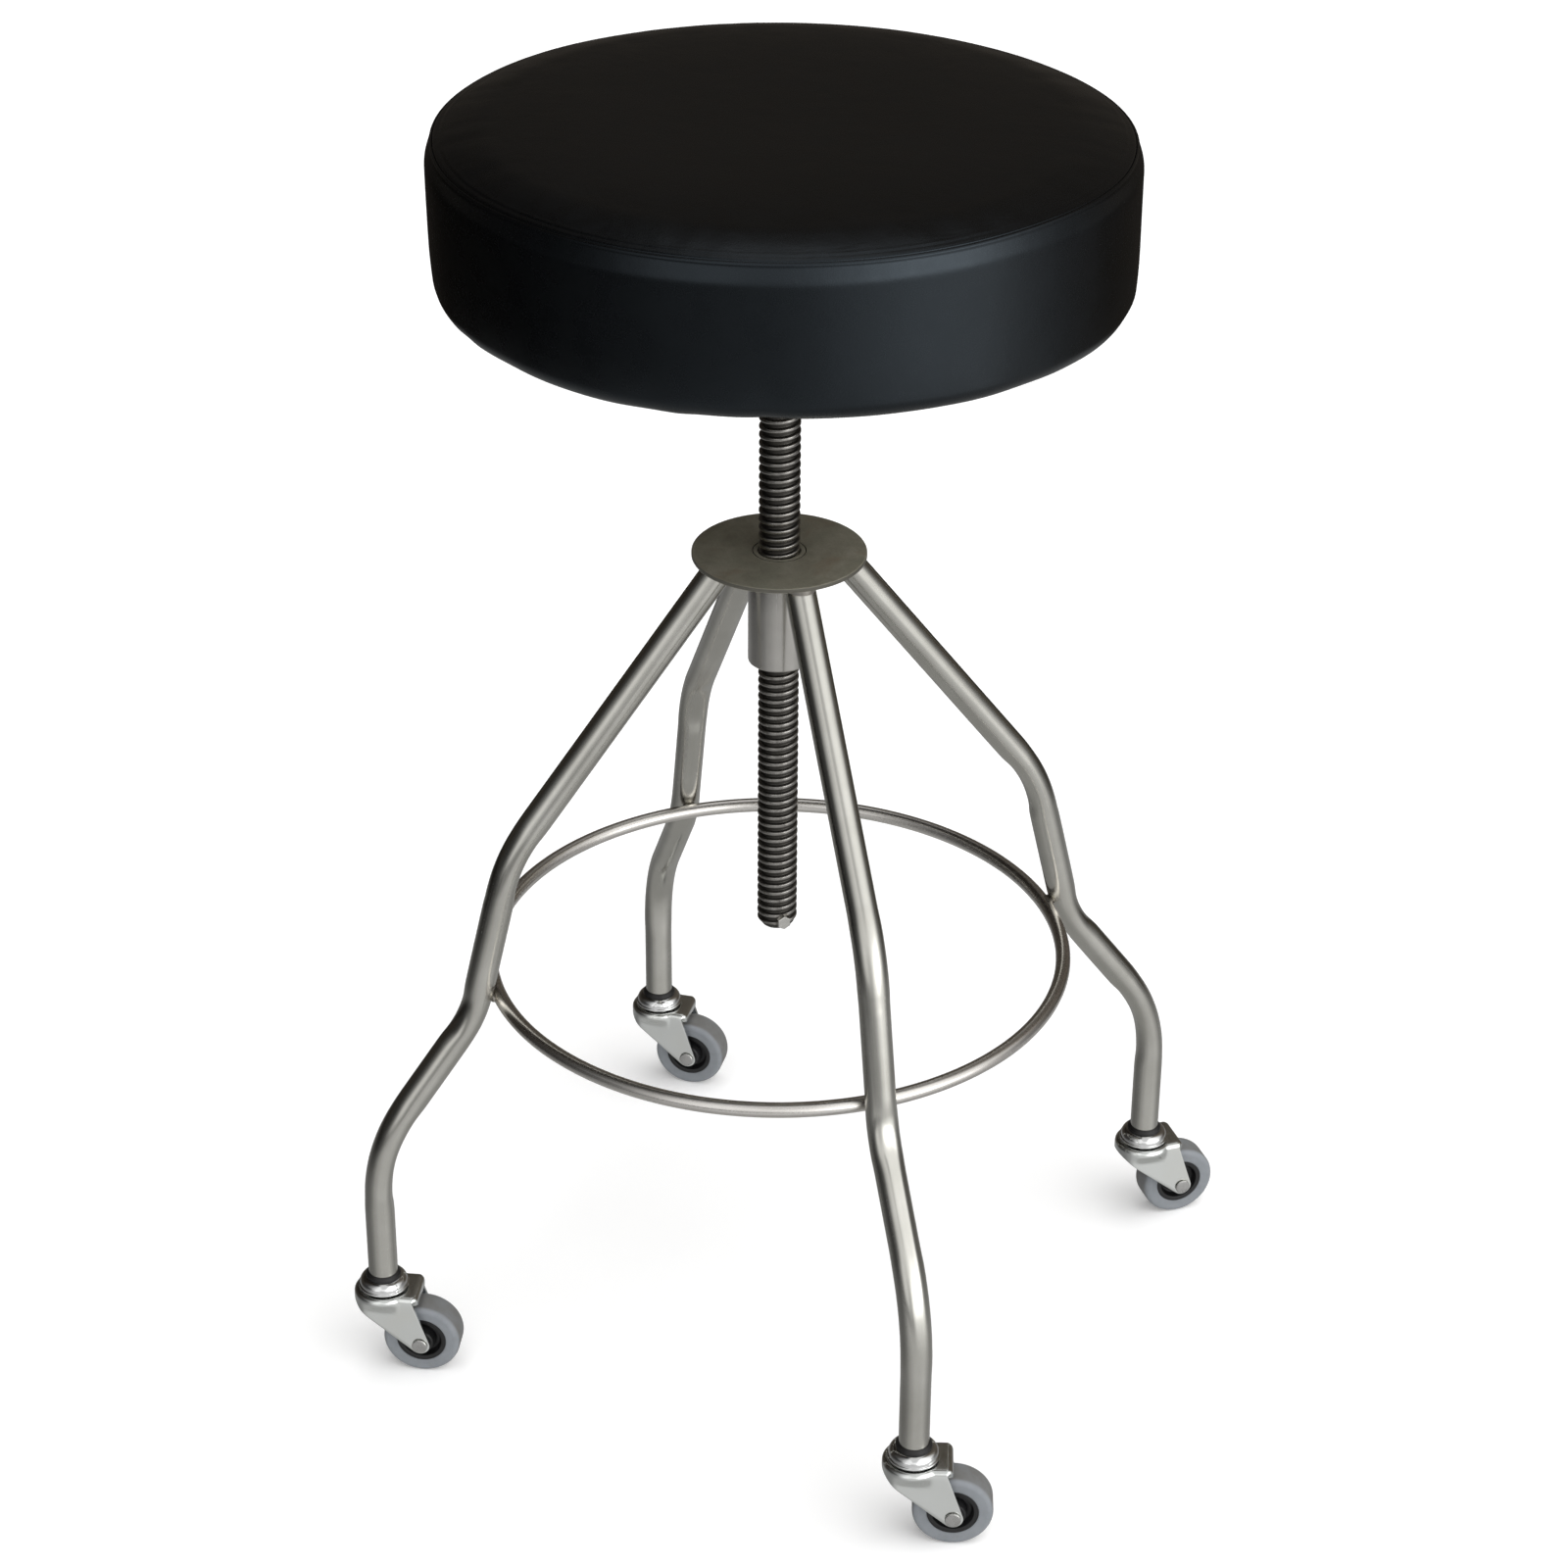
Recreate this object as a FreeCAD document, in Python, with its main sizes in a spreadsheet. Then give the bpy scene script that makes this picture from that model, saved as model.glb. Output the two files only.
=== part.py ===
import FreeCAD, Part
import math
import os
import Sketcher
from FreeCAD import Placement, Rotation, Vector

# Height-adjustable screw stool: padded round seat on a coarse lead screw, four bent
# tube legs, foot ring and four swivel casters.
# Frame: Z up, origin on the floor under the screw, legs on -Y (front), +X (right),
# +Y (back) and -X (left). Millimetres.

doc = FreeCAD.newDocument("screw_stool")
sheet = doc.addObject("Spreadsheet::Sheet", "dims")
sheet.Label = "dims"


# ---------------------------------------------------------------- driving dimensions
class Dim:
    """A length with its value and the sheet expression that gives it."""

    def __init__(self, value, text):
        self.value = float(value)
        self.text = text

    def _op(self, other, sign, swap=False):
        o = other if isinstance(other, Dim) else Dim(other, "%.6g" % other)
        a, b = (o, self) if swap else (self, o)
        v = {"+": a.value + b.value, "-": a.value - b.value, "*": a.value * b.value}[sign]
        return Dim(v, "(%s %s %s)" % (a.text, sign, b.text))

    def __add__(self, o):
        return self._op(o, "+")

    def __radd__(self, o):
        return self._op(o, "+", True)

    def __sub__(self, o):
        return self._op(o, "-")

    def __rsub__(self, o):
        return self._op(o, "-", True)

    def __mul__(self, o):
        return self._op(o, "*")

    def __rmul__(self, o):
        return self._op(o, "*", True)

    def __neg__(self):
        return Dim(-self.value, "(-%s)" % self.text)


def num(a):
    return a.value if isinstance(a, Dim) else float(a)


TABLE = [
    # seat cushion
    ("seat_radius", 204.0), ("seat_top", 829.5), ("seat_flat_radius", 110.0),
    ("seat_shoulder_radius", 190.0), ("seat_shoulder_height", 826.9),
    ("seam_height", 821.3), ("seat_bottom", 729.0), ("seat_bottom_round", 10.0),
    ("cover_thickness", 1.2), ("cover_fold_radius", 160.0), ("fit_gap", 0.1),
    ("board_radius", 192.0), ("board_thickness", 12.0), ("foam_skirt", 2.3),
    ("dust_radius", 172.0), ("dust_hole_radius", 80.0), ("dust_thickness", 0.5),
    # seat plate and lead screw
    ("flange_radius", 75.0), ("flange_thickness", 4.0), ("flange_hole_circle", 58.0),
    ("flange_hole_radius", 2.75), ("wood_screw_radius", 2.4), ("wood_screw_head_radius", 5.0),
    ("wood_screw_head", 2.8), ("wood_screw_length", 10.0),
    ("screw_radius", 12.7), ("screw_root_radius", 10.6), ("thread_pitch", 5.55),
    ("thread_turns", 76.0), ("screw_bottom", 290.0), ("screw_chamfer", 5.0),
    ("shank_radius", 12.5), ("collar_radius", 23.0), ("collar_bore_radius", 12.56),
    ("collar_gap", 0.5), ("stop_height", 296.5), ("stop_flat", 11.4),
    ("stop_hex", 8.0), ("stop_head", 3.8), ("stop_shank_radius", 2.5),
    # hub
    ("disc_radius", 53.7), ("disc_top", 555.0), ("disc_thickness", 3.0), ("disc_hole_radius", 16.5),
    ("hub_radius", 19.05), ("hub_bottom", 480.0), ("hub_bore_radius", 16.02),
    ("nut_radius", 16.0), ("nut_inset", 0.5), ("nut_top_inset", 0.1), ("nut_lead", 0.35), ("thread_clearance", 0.38),
    # legs and ring
    ("tube_radius", 9.525), ("tube_wall", 1.65), ("foot_radius", 269.7), ("foot_end", 73.0),
    ("bend_c_height", 168.0), ("bend_b_radius", 202.65), ("bend_b_height", 258.3),
    ("bend_a_radius", 176.2), ("bend_a_height", 367.7), ("leg_head_radius", 26.2),
    ("leg_head_height", 564.0), ("bend_a_round", 112.0), ("bend_b_round", 80.0),
    ("bend_c_round", 112.0), ("ring_radius", 185.0), ("ring_height", 269.6),
    ("ring_rod_radius", 4.76),
    # casters
    ("wheel_radius", 25.2), ("wheel_half_width", 10.0), ("tread_round", 3.7),
    ("tread_inner_radius", 16.2), ("trail", 25.0), ("axle_radius", 3.0),
    ("axle_head_radius", 4.9), ("axle_head", 1.8), ("bush_radius", 5.0),
    ("fork_half_width", 15.6), ("fork_plate", 2.0), ("fork_crown_radius", 19.5),
    ("fork_crown_top", 61.5), ("fork_tail", 21.0), ("fork_boss_radius", 6.4),
    ("fork_blend", 6.0), ("fork_shoulder", 3.4), ("stem_radius", 4.0),
    ("stem_top", 110.0), ("ball_radius", 2.2), ("ball_circle", 11.0),
    ("cap_radius", 16.5), ("cap_lip", 63.0), ("cap_top", 70.2), ("cap_plate", 1.5),
    ("sleeve_radius", 11.5), ("sleeve_plug_radius", 7.7),
    # resting swivel angle of each caster, degrees from +X
    ("yaw_front", -20.2), ("yaw_right", -0.4), ("yaw_back", -33.1), ("yaw_left", -24.5),
]


class Dims:
    pass


D = Dims()
for row, (alias, value) in enumerate(TABLE, start=1):
    cell = "B%d" % row
    sheet.set("A%d" % row, alias)
    sheet.set(cell, "%.6g" % value)
    sheet.setAlias(cell, alias)
    setattr(D, alias, Dim(value, "dims.%s" % alias))
doc.recompute()

NODES = []


# ---------------------------------------------------------------- drawing helpers
def new_body(label, placement=None):
    b = doc.addObject("PartDesign::Body", label)
    b.Label = label
    if placement is not None:
        b.Placement = placement
    NODES.append(b)
    return b


def new_sketch(body, role, name, z=None, x=None):
    sk = body.newObject("Sketcher::SketchObject", name)
    plane = [o for o in body.Origin.OriginFeatures if o.Role == role][0]
    sk.AttachmentSupport = [(plane, "")]
    sk.MapMode = "FlatFace"
    if z is not None:
        sk.AttachmentOffset = Placement(Vector(num(x or 0), 0, num(z)), Rotation())
        if isinstance(z, Dim):
            sk.setExpression(".AttachmentOffset.Base.z", z.text)
        if isinstance(x, Dim):
            sk.setExpression(".AttachmentOffset.Base.x", x.text)
    return sk


def bind(sk, index, value):
    if isinstance(value, Dim):
        sk.setExpression("Constraints[%d]" % index, value.text)


def fix_point(sk, geo, pos, x, y):
    if num(x) == 0.0:
        sk.addConstraint(Sketcher.Constraint("PointOnObject", geo, pos, -2))
    else:
        bind(sk, sk.addConstraint(Sketcher.Constraint("DistanceX", -1, 1, geo, pos, num(x))), x)
    if num(y) == 0.0:
        sk.addConstraint(Sketcher.Constraint("PointOnObject", geo, pos, -1))
    else:
        bind(sk, sk.addConstraint(Sketcher.Constraint("DistanceY", -1, 1, geo, pos, num(y))), y)


def circle(sk, x, y, radius):
    g = sk.addGeometry(Part.Circle(Vector(num(x), num(y), 0), Vector(0, 0, 1), num(radius)), False)
    bind(sk, sk.addConstraint(Sketcher.Constraint("Radius", g, num(radius))), radius)
    if num(x) == 0.0 and num(y) == 0.0:
        sk.addConstraint(Sketcher.Constraint("Coincident", g, 3, -1, 1))
    else:
        fix_point(sk, g, 3, x, y)
    return g


def outline(sk, points):
    """Closed outline. A point is (x, y) for a straight run to the next one, or
    (x, y, radius, centre x, centre y, ccw) for an arc to the next one."""
    n = len(points)
    ends = []
    for i in range(n):
        p, q = points[i], points[(i + 1) % n]
        a = Vector(num(p[0]), num(p[1]), 0)
        b = Vector(num(q[0]), num(q[1]), 0)
        if len(p) > 2:
            r, cx, cy, ccw = p[2], p[3], p[4], p[5]
            c = Vector(num(cx), num(cy), 0)
            s, e = (a, b) if ccw else (b, a)
            a0 = math.atan2(s.y - c.y, s.x - c.x)
            a1 = math.atan2(e.y - c.y, e.x - c.x)
            if a1 <= a0:
                a1 += 2 * math.pi
            g = sk.addGeometry(Part.ArcOfCircle(Part.Circle(c, Vector(0, 0, 1), num(r)), a0, a1), False)
            bind(sk, sk.addConstraint(Sketcher.Constraint("Radius", g, num(r))), r)
            ends.append((g, 1, 2) if ccw else (g, 2, 1))
        else:
            g = sk.addGeometry(Part.LineSegment(a, b), False)
            ends.append((g, 1, 2))
    for i in range(n):
        g, s, e = ends[i]
        h, hs, he = ends[(i + 1) % n]
        sk.addConstraint(Sketcher.Constraint("Coincident", g, e, h, hs))
    for i in range(n):
        g, s, e = ends[i]
        fix_point(sk, g, s, points[i][0], points[i][1])


def revolve(body, points, role="XZ_Plane", name="profile"):
    sk = new_sketch(body, role, body.Label + "_" + name)
    outline(sk, points)
    rev = body.newObject("PartDesign::Revolution", body.Label + "_turned")
    rev.Profile = sk
    rev.ReferenceAxis = (sk, ["V_Axis"])
    rev.Angle = 360.0
    doc.recompute()
    return rev


def pad(body, sk, length, name="pad"):
    p = body.newObject("PartDesign::Pad", body.Label + "_" + name)
    p.Profile = sk
    p.Length = num(length)
    if isinstance(length, Dim):
        p.setExpression("Length", length.text)
    doc.recompute()
    return p


def pocket(body, sk, length=None, up=False, both=False, name="pocket"):
    before = body.Shape.Volume
    p = body.newObject("PartDesign::Pocket", body.Label + "_" + name)
    p.Profile = sk
    if length is None:
        p.Type = "ThroughAll"
    else:
        p.Length = num(length)
        if isinstance(length, Dim):
            p.setExpression("Length", length.text)
    p.Midplane = both
    p.Reversed = up
    doc.recompute()
    if not body.Shape.Volume < before - 1e-3:
        raise RuntimeError("cut removed nothing: " + p.Name)
    return p


def edges_where(shape, test):
    return ["Edge%d" % (i + 1) for i, e in enumerate(shape.Edges) if test(e)]


def fillet(body, feature, names, radius, name="fillet"):
    f = body.newObject("PartDesign::Fillet", body.Label + "_" + name)
    f.Base = (feature, names)
    f.Radius = num(radius)
    if isinstance(radius, Dim):
        f.setExpression("Radius", radius.text)
    doc.recompute()
    return f


def group(label, shapes):
    """Identical small pieces kept together as separate solids."""
    obj = doc.addObject("Part::Feature", label)
    obj.Label = label
    obj.Shape = Part.makeCompound(shapes)
    NODES.append(obj)
    return obj


def plain(label, shape):
    obj = doc.addObject("Part::Feature", label)
    obj.Label = label
    obj.Shape = shape
    NODES.append(obj)
    return obj


def about_z(deg):
    return Placement(Vector(0, 0, 0), Rotation(Vector(0, 0, 1), deg))


def turned_copies(shape, count, first=0.0):
    out = []
    for i in range(count):
        s = shape.copy()
        s.rotate(Vector(0, 0, 0), Vector(0, 0, 1), first + 360.0 * i / count)
        out.append(s)
    return out


# ---------------------------------------------------------------- seat cushion
# The padded seat: plywood board, foam block, vinyl top panel and side band sewn
# together at the shoulder, with the band turned under the board and stapled.
def crown(drop, inset):
    """Top line from the axis to the seam, lowered and drawn in by the given amounts."""
    z1 = D.seat_top - drop
    x2 = D.seat_shoulder_radius - inset
    z2 = D.seat_shoulder_height - drop
    x3 = D.seat_radius - inset
    z3 = D.seam_height - drop
    x1 = D.seat_flat_radius
    dx, dz = num(x2) - num(x1), num(z1) - num(z2)
    rr = (dx * dx + dz * dz) / (2 * dz)
    # shoulder arc from (x2, z2) to (x3, z3), bulging outwards
    mx, mz = (num(x2) + num(x3)) / 2, (num(z2) + num(z3)) / 2
    ux, uz = num(x3) - num(x2), num(z3) - num(z2)
    half = math.hypot(ux, uz) / 2
    rs = 13.0
    off = math.sqrt(rs * rs - half * half)
    nx, nz = uz / (2 * half), -ux / (2 * half)
    return [
        (0.0, z1),
        (x1, z1, rr, num(x1), num(z1) - rr, False),
        (x2, z2, rs, mx + nx * off, mz + nz * off, False),
        (x3, z3),
    ]


t = D.cover_thickness
g = D.fit_gap
top_panel = new_body("seat_top_panel")
outer = crown(0.0, 0.0)
inner = crown(t, t)
inner_back = [
    (inner[3][0], inner[3][1], inner[2][2], inner[2][3], inner[2][4], True),
    (inner[2][0], inner[2][1], inner[1][2], inner[1][3], inner[1][4], True),
    (inner[1][0], inner[1][1]),
    (inner[0][0], inner[0][1]),
]
revolve(top_panel, outer[:3] + [(outer[3][0], outer[3][1])] + inner_back)

band = new_body("seat_side_band")
band_top = D.seam_height - t - g
ro = D.seat_bottom_round
bx, bz = D.seat_radius - ro, D.seat_bottom + ro
revolve(
    band,
    [
        (D.seat_radius, band_top),
        (D.seat_radius - t, band_top),
        (D.seat_radius - t, bz, ro - t, bx, bz, False),
        (bx, D.seat_bottom + t),
        (D.cover_fold_radius, D.seat_bottom + t),
        (D.cover_fold_radius, D.seat_bottom),
        (bx, D.seat_bottom, ro, bx, bz, True),
        (D.seat_radius, bz),
    ],
)

board_bottom = D.seat_bottom + t + g
board = new_body("seat_board")
sk = new_sketch(board, "XY_Plane", "seat_board_outline", z=board_bottom)
circle(sk, 0, 0, D.board_radius)
bp = pad(board, sk, D.board_thickness)
fillet(board, bp, edges_where(bp.Shape, lambda e: abs(e.BoundBox.ZMin - num(board_bottom + D.board_thickness)) < 0.01 and abs(e.BoundBox.ZMax - e.BoundBox.ZMin) < 0.01), 2.0)

foam = new_body("seat_foam")
fo = crown(t + g, t + g)
board_top = board_bottom + D.board_thickness
foam_low = board_top - D.foam_skirt
revolve(
    foam,
    fo[:3]
    + [
        (fo[3][0], fo[3][1]),
        (D.seat_radius - t - g, foam_low),
        (D.board_radius + g, foam_low),
        (D.board_radius + g, board_top + g),
        (0.0, board_top + g),
    ],
)

dust = new_body("dust_cover")
dust_top = D.seat_bottom - g
revolve(
    dust,
    [
        (D.dust_hole_radius, dust_top - D.dust_thickness),
        (D.dust_radius, dust_top - D.dust_thickness),
        (D.dust_radius, dust_top),
        (D.dust_hole_radius, dust_top),
    ],
)

zs = num(dust_top - D.dust_thickness)
crown_bar = Part.makeBox(1.1, 10.0, 0.6, Vector(165.5, -5.0, zs - 0.6))
leg_a = Part.makeBox(1.1, 0.6, 6.6, Vector(165.5, -5.0, zs - 0.6))
leg_b = Part.makeBox(1.1, 0.6, 6.6, Vector(165.5, 4.4, zs - 0.6))
staple = crown_bar.fuse(leg_a).fuse(leg_b).removeSplitter()
group("seat_staples", turned_copies(staple, 24, 7.5))

# ---------------------------------------------------------------- seat plate and screw
flange_top = board_bottom - 0.05
flange_low = flange_top - D.flange_thickness
flange = new_body("seat_flange")
sk = new_sketch(flange, "XY_Plane", "seat_flange_outline", z=flange_low)
circle(sk, 0, 0, D.flange_radius)
circle(sk, 0, 0, D.shank_radius + 0.05)
fp = pad(flange, sk, D.flange_thickness)
sk = new_sketch(flange, "XY_Plane", "seat_flange_hole", z=flange_low)
circle(sk, D.flange_hole_circle, 0, D.flange_hole_radius)
hole = pocket(flange, sk, D.flange_thickness, up=True)
pat = flange.newObject("PartDesign::PolarPattern", "seat_flange_holes")
pat.Originals = [hole]
pat.Axis = (sk, ["N_Axis"])
pat.Angle = 360.0
pat.Occurrences = 4
flange.Tip = pat
doc.recompute()

# pan-head wood screws that hold the plate to the board
wood = doc.addObject("PartDesign::Body", "wood_screw_pattern")
zh = flange_low - D.wood_screw_head
revolve(
    wood,
    [
        (0.0, zh),
        (D.wood_screw_head_radius - 1.6, zh),
        (D.wood_screw_head_radius, zh + 1.4),
        (D.wood_screw_head_radius, flange_low),
        (D.wood_screw_radius, flange_low),
        (D.wood_screw_radius, flange_top + D.wood_screw_length - 3.0),
        (0.0, flange_top + D.wood_screw_length),
    ],
)
sk = new_sketch(wood, "XY_Plane", "wood_screw_cross", z=zh)
outline(sk, [(-2.6, -0.5), (-0.5, -0.5), (-0.5, -2.6), (0.5, -2.6), (0.5, -0.5), (2.6, -0.5),
             (2.6, 0.5), (0.5, 0.5), (0.5, 2.6), (-0.5, 2.6), (-0.5, 0.5), (-2.6, 0.5)])
pocket(wood, sk, 1.6, up=True, name="recess")
one = wood.Shape.copy()
one.translate(Vector(num(D.flange_hole_circle), 0, 0))
group("flange_screws", turned_copies(one, 4))


# The lead screw: a right-hand trapezoidal thread, built turn by turn from ruled
# helical strips (crest, flank, root, flank) and trimmed flat at both ends.
pitch = num(D.thread_pitch)


def helix_edge(radius, z, spans=16):
    """One turn of a helix as a smooth cubic: each span is the standard arc in plan
    and rises evenly."""
    if radius == 0.0:
        return Part.makeLine(Vector(0, 0, z), Vector(0, 0, z + pitch))
    step = 2 * math.pi / spans
    reach, climb = radius * 4.0 / 3.0 * math.tan(step / 4.0), pitch / spans / 3.0
    poles = []
    for i in range(spans + 1):
        a = step * i
        on = Vector(radius * math.cos(a), radius * math.sin(a), z + pitch * i / spans)
        along = Vector(-reach * math.sin(a), reach * math.cos(a), climb)
        if i == 0:
            poles += [on, on + along]
        elif i == spans:
            poles += [on - along, on]
        else:
            poles += [on - along, on + along]
    curve = Part.BSplineCurve()
    curve.buildFromPolesMultsKnots(poles, [4] + [2] * (spans - 1) + [4], [step * i for i in range(spans + 1)], False, 3)
    return curve.toShape()


def threaded_core(z_start, turns, crest_radius, root_radius, crest, flank):
    zz = [0.0, crest, crest + flank, pitch - flank, pitch]
    rr = [crest_radius, crest_radius, root_radius, root_radius, crest_radius]
    strips = [Part.makeRuledSurface(helix_edge(rr[i], zz[i]), helix_edge(rr[i + 1], zz[i + 1])) for i in range(4)]
    faces = []
    for k in range(turns):
        for f in strips:
            c = f.copy()
            c.translate(Vector(0, 0, z_start + k * pitch))
            faces.append(c)
    for z in (z_start, z_start + turns * pitch):
        pts = [Vector(0, 0, z)] + [Vector(a, 0, z + b) for a, b in zip(rr, zz)]
        pts += [Vector(0, 0, z + pitch), Vector(0, 0, z)]
        faces.append(Part.Face(Part.makePolygon(pts)))
        ramp = Part.makeRuledSurface(helix_edge(0.0, 0.0), helix_edge(crest_radius, 0.0))
        ramp.translate(Vector(0, 0, z))
        faces.append(ramp)
    skin = Part.makeCompound(faces)
    skin.sewShape(1e-5)
    solid = Part.makeSolid(skin.Shells[0])
    if solid.Volume < 0:
        solid.reverse()
    return solid


R, r = num(D.screw_radius), num(D.screw_root_radius)
crest = 0.3707 * pitch
flank = (R - r) * math.tan(math.radians(14.5))
turns = int(num(D.thread_turns))
z0 = num(D.screw_bottom)
z1 = z0 + turns * pitch
core = threaded_core(z0 - pitch, turns + 3, R, r, crest, flank)
ch = num(D.screw_chamfer)
blank = Part.makeCone(9.6, R + 0.5, ch, Vector(0, 0, z0)).fuse(Part.makeCylinder(R + 0.5, z1 - z0 - ch, Vector(0, 0, z0 + ch)))
rod = core.common(blank)
shank_len = num(flange_top) - z1
rod = rod.fuse(Part.makeCylinder(num(D.shank_radius), shank_len, Vector(0, 0, z1)))
zb = num(D.stop_height)
flat = num(D.stop_flat)
rod = rod.cut(Part.makeCylinder(5.2, 10.0, Vector(0, -flat, zb), Vector(0, -1, 0)))
rod = rod.cut(Part.makeCylinder(num(D.stop_shank_radius) + 0.02, 40.0, Vector(0, -20, zb), Vector(0, 1, 0)))
plain("lift_screw", rod.Solids[0] if len(rod.Solids) == 1 else rod)

# cross bolt at the foot of the screw that stops it unwinding out of the hub
stop = new_body("stop_bolt", Placement(Vector(0, 0, zb), Rotation(Vector(1, 0, 0), 90)))
sk = new_sketch(stop, "XY_Plane", "stop_bolt_hex", z=D.stop_flat)
hexr = num(D.stop_hex) / math.sqrt(3.0)
outline(sk, [(hexr * math.cos(math.radians(60 * i + 30)), hexr * math.sin(math.radians(60 * i + 30))) for i in range(6)])
hp = pad(stop, sk, D.stop_head, name="head")
sk = new_sketch(stop, "XY_Plane", "stop_bolt_shank", z=-9.0)
circle(sk, 0, 0, D.stop_shank_radius)
bolt = pad(stop, sk, D.stop_flat + 9.0, name="shank")
top_edge = edges_where(bolt.Shape, lambda e: abs(e.BoundBox.ZMin - num(D.stop_flat + D.stop_head)) < 0.01 and e.BoundBox.ZMax - e.BoundBox.ZMin < 0.01)
cham = stop.newObject("PartDesign::Chamfer", "stop_bolt_corners")
cham.Base = (bolt, top_edge)
cham.Size = 0.45
doc.recompute()

# collar under the seat plate, round the plain top of the screw
collar = new_body("seat_collar")
cz0 = D.screw_bottom + D.thread_turns * D.thread_pitch + D.collar_gap
cz1 = flange_low - 0.3
revolve(
    collar,
    [
        (D.collar_bore_radius, cz0),
        (D.collar_radius - 3.0, cz0),
        (D.collar_radius, cz0 + 3.0),
        (D.collar_radius, cz1),
        (D.collar_bore_radius, cz1),
    ],
)

# ---------------------------------------------------------------- hub
disc_low = D.disc_top - D.disc_thickness
disc = new_body("top_plate")
sk = new_sketch(disc, "XY_Plane", "top_plate_outline", z=disc_low)
circle(sk, 0, 0, D.disc_radius)
circle(sk, 0, 0, D.disc_hole_radius)
dp = pad(disc, sk, D.disc_thickness)
rim = edges_where(dp.Shape, lambda e: e.BoundBox.XMax > num(D.disc_radius) - 0.1 and e.BoundBox.ZMax - e.BoundBox.ZMin < 0.01)
fillet(disc, dp, rim, 0.6)

hub = new_body("hub_sleeve")
revolve(
    hub,
    [
        (D.hub_bore_radius, D.hub_bottom),
        (D.hub_radius - 1.0, D.hub_bottom),
        (D.hub_radius, D.hub_bottom + 1.0),
        (D.hub_radius, disc_low),
        (D.hub_bore_radius, disc_low),
    ],
)

hub_weld = new_body("hub_weld")
revolve(
    hub_weld,
    [
        (D.hub_radius + 0.02, disc_low - 3.2),
        (D.hub_radius + 0.5, disc_low - 3.2),
        (D.hub_radius + 3.2, disc_low - 0.5),
        (D.hub_radius + 3.2, disc_low),
        (D.hub_radius + 0.02, disc_low),
    ],
)

# threaded bush pressed into the hub: the screw's own form with running room all round
c = num(D.thread_clearance)
hollow = threaded_core(z0 - pitch + 34 * pitch, 17, R + c, r + c, crest + 0.9, flank)
hollow.translate(Vector(0, 0, -0.45))
nb = num(D.hub_bottom + D.nut_inset)
nt = num(D.disc_top - D.nut_top_inset)
lead_in = num(D.nut_lead)
bush = Part.makeCylinder(num(D.nut_radius), nt - nb, Vector(0, 0, nb)).cut(hollow)
lead = Part.makeCone(R + c + lead_in, R + c - 1.0, 1.0 + lead_in, Vector(0, 0, nb))
bush = bush.cut(lead)
lead = Part.makeCone(R + c - 1.0, R + c + lead_in, 1.0 + lead_in, Vector(0, 0, nt - 1.0 - lead_in))
bush = bush.cut(lead)
plain("thread_nut", bush.Solids[0] if len(bush.Solids) == 1 else bush)


# ---------------------------------------------------------------- legs
# One bent tube: upright foot, outward kick, steep shank and inclined head that is
# cut level under the top plate.
def bent_path(points, radii):
    """Line and arc pieces for a path with rounded corners."""
    pieces = []
    start = points[0]
    for i in range(1, len(points) - 1):
        p, q, s = points[i - 1], points[i], points[i + 1]
        d1 = ((p[0] - q[0]), (p[1] - q[1]))
        d2 = ((s[0] - q[0]), (s[1] - q[1]))
        l1, l2 = math.hypot(*d1), math.hypot(*d2)
        d1 = (d1[0] / l1, d1[1] / l1)
        d2 = (d2[0] / l2, d2[1] / l2)
        ang = math.acos(max(-1.0, min(1.0, d1[0] * d2[0] + d1[1] * d2[1])))
        tl = radii[i - 1] / math.tan(ang / 2)
        a = (q[0] + d1[0] * tl, q[1] + d1[1] * tl)
        b = (q[0] + d2[0] * tl, q[1] + d2[1] * tl)
        bis = (d1[0] + d2[0], d1[1] + d2[1])
        bl = math.hypot(*bis)
        cd = radii[i - 1] / math.sin(ang / 2)
        cen = (q[0] + bis[0] / bl * cd, q[1] + bis[1] / bl * cd)
        pieces.append(("line", start, a))
        pieces.append(("arc", a, b, cen, radii[i - 1]))
        start = b
    pieces.append(("line", start, points[-1]))
    return pieces


corners = [
    (D.foot_radius, D.foot_end),
    (D.foot_radius, D.bend_c_height),
    (D.bend_b_radius, D.bend_b_height),
    (D.bend_a_radius, D.bend_a_height),
    (D.leg_head_radius, D.leg_head_height),
]
rounds = [D.bend_c_round, D.bend_b_round, D.bend_a_round]
flat_corners = [(num(a), num(b)) for a, b in corners]
path_pieces = bent_path(flat_corners, [num(a) for a in rounds])


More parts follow.
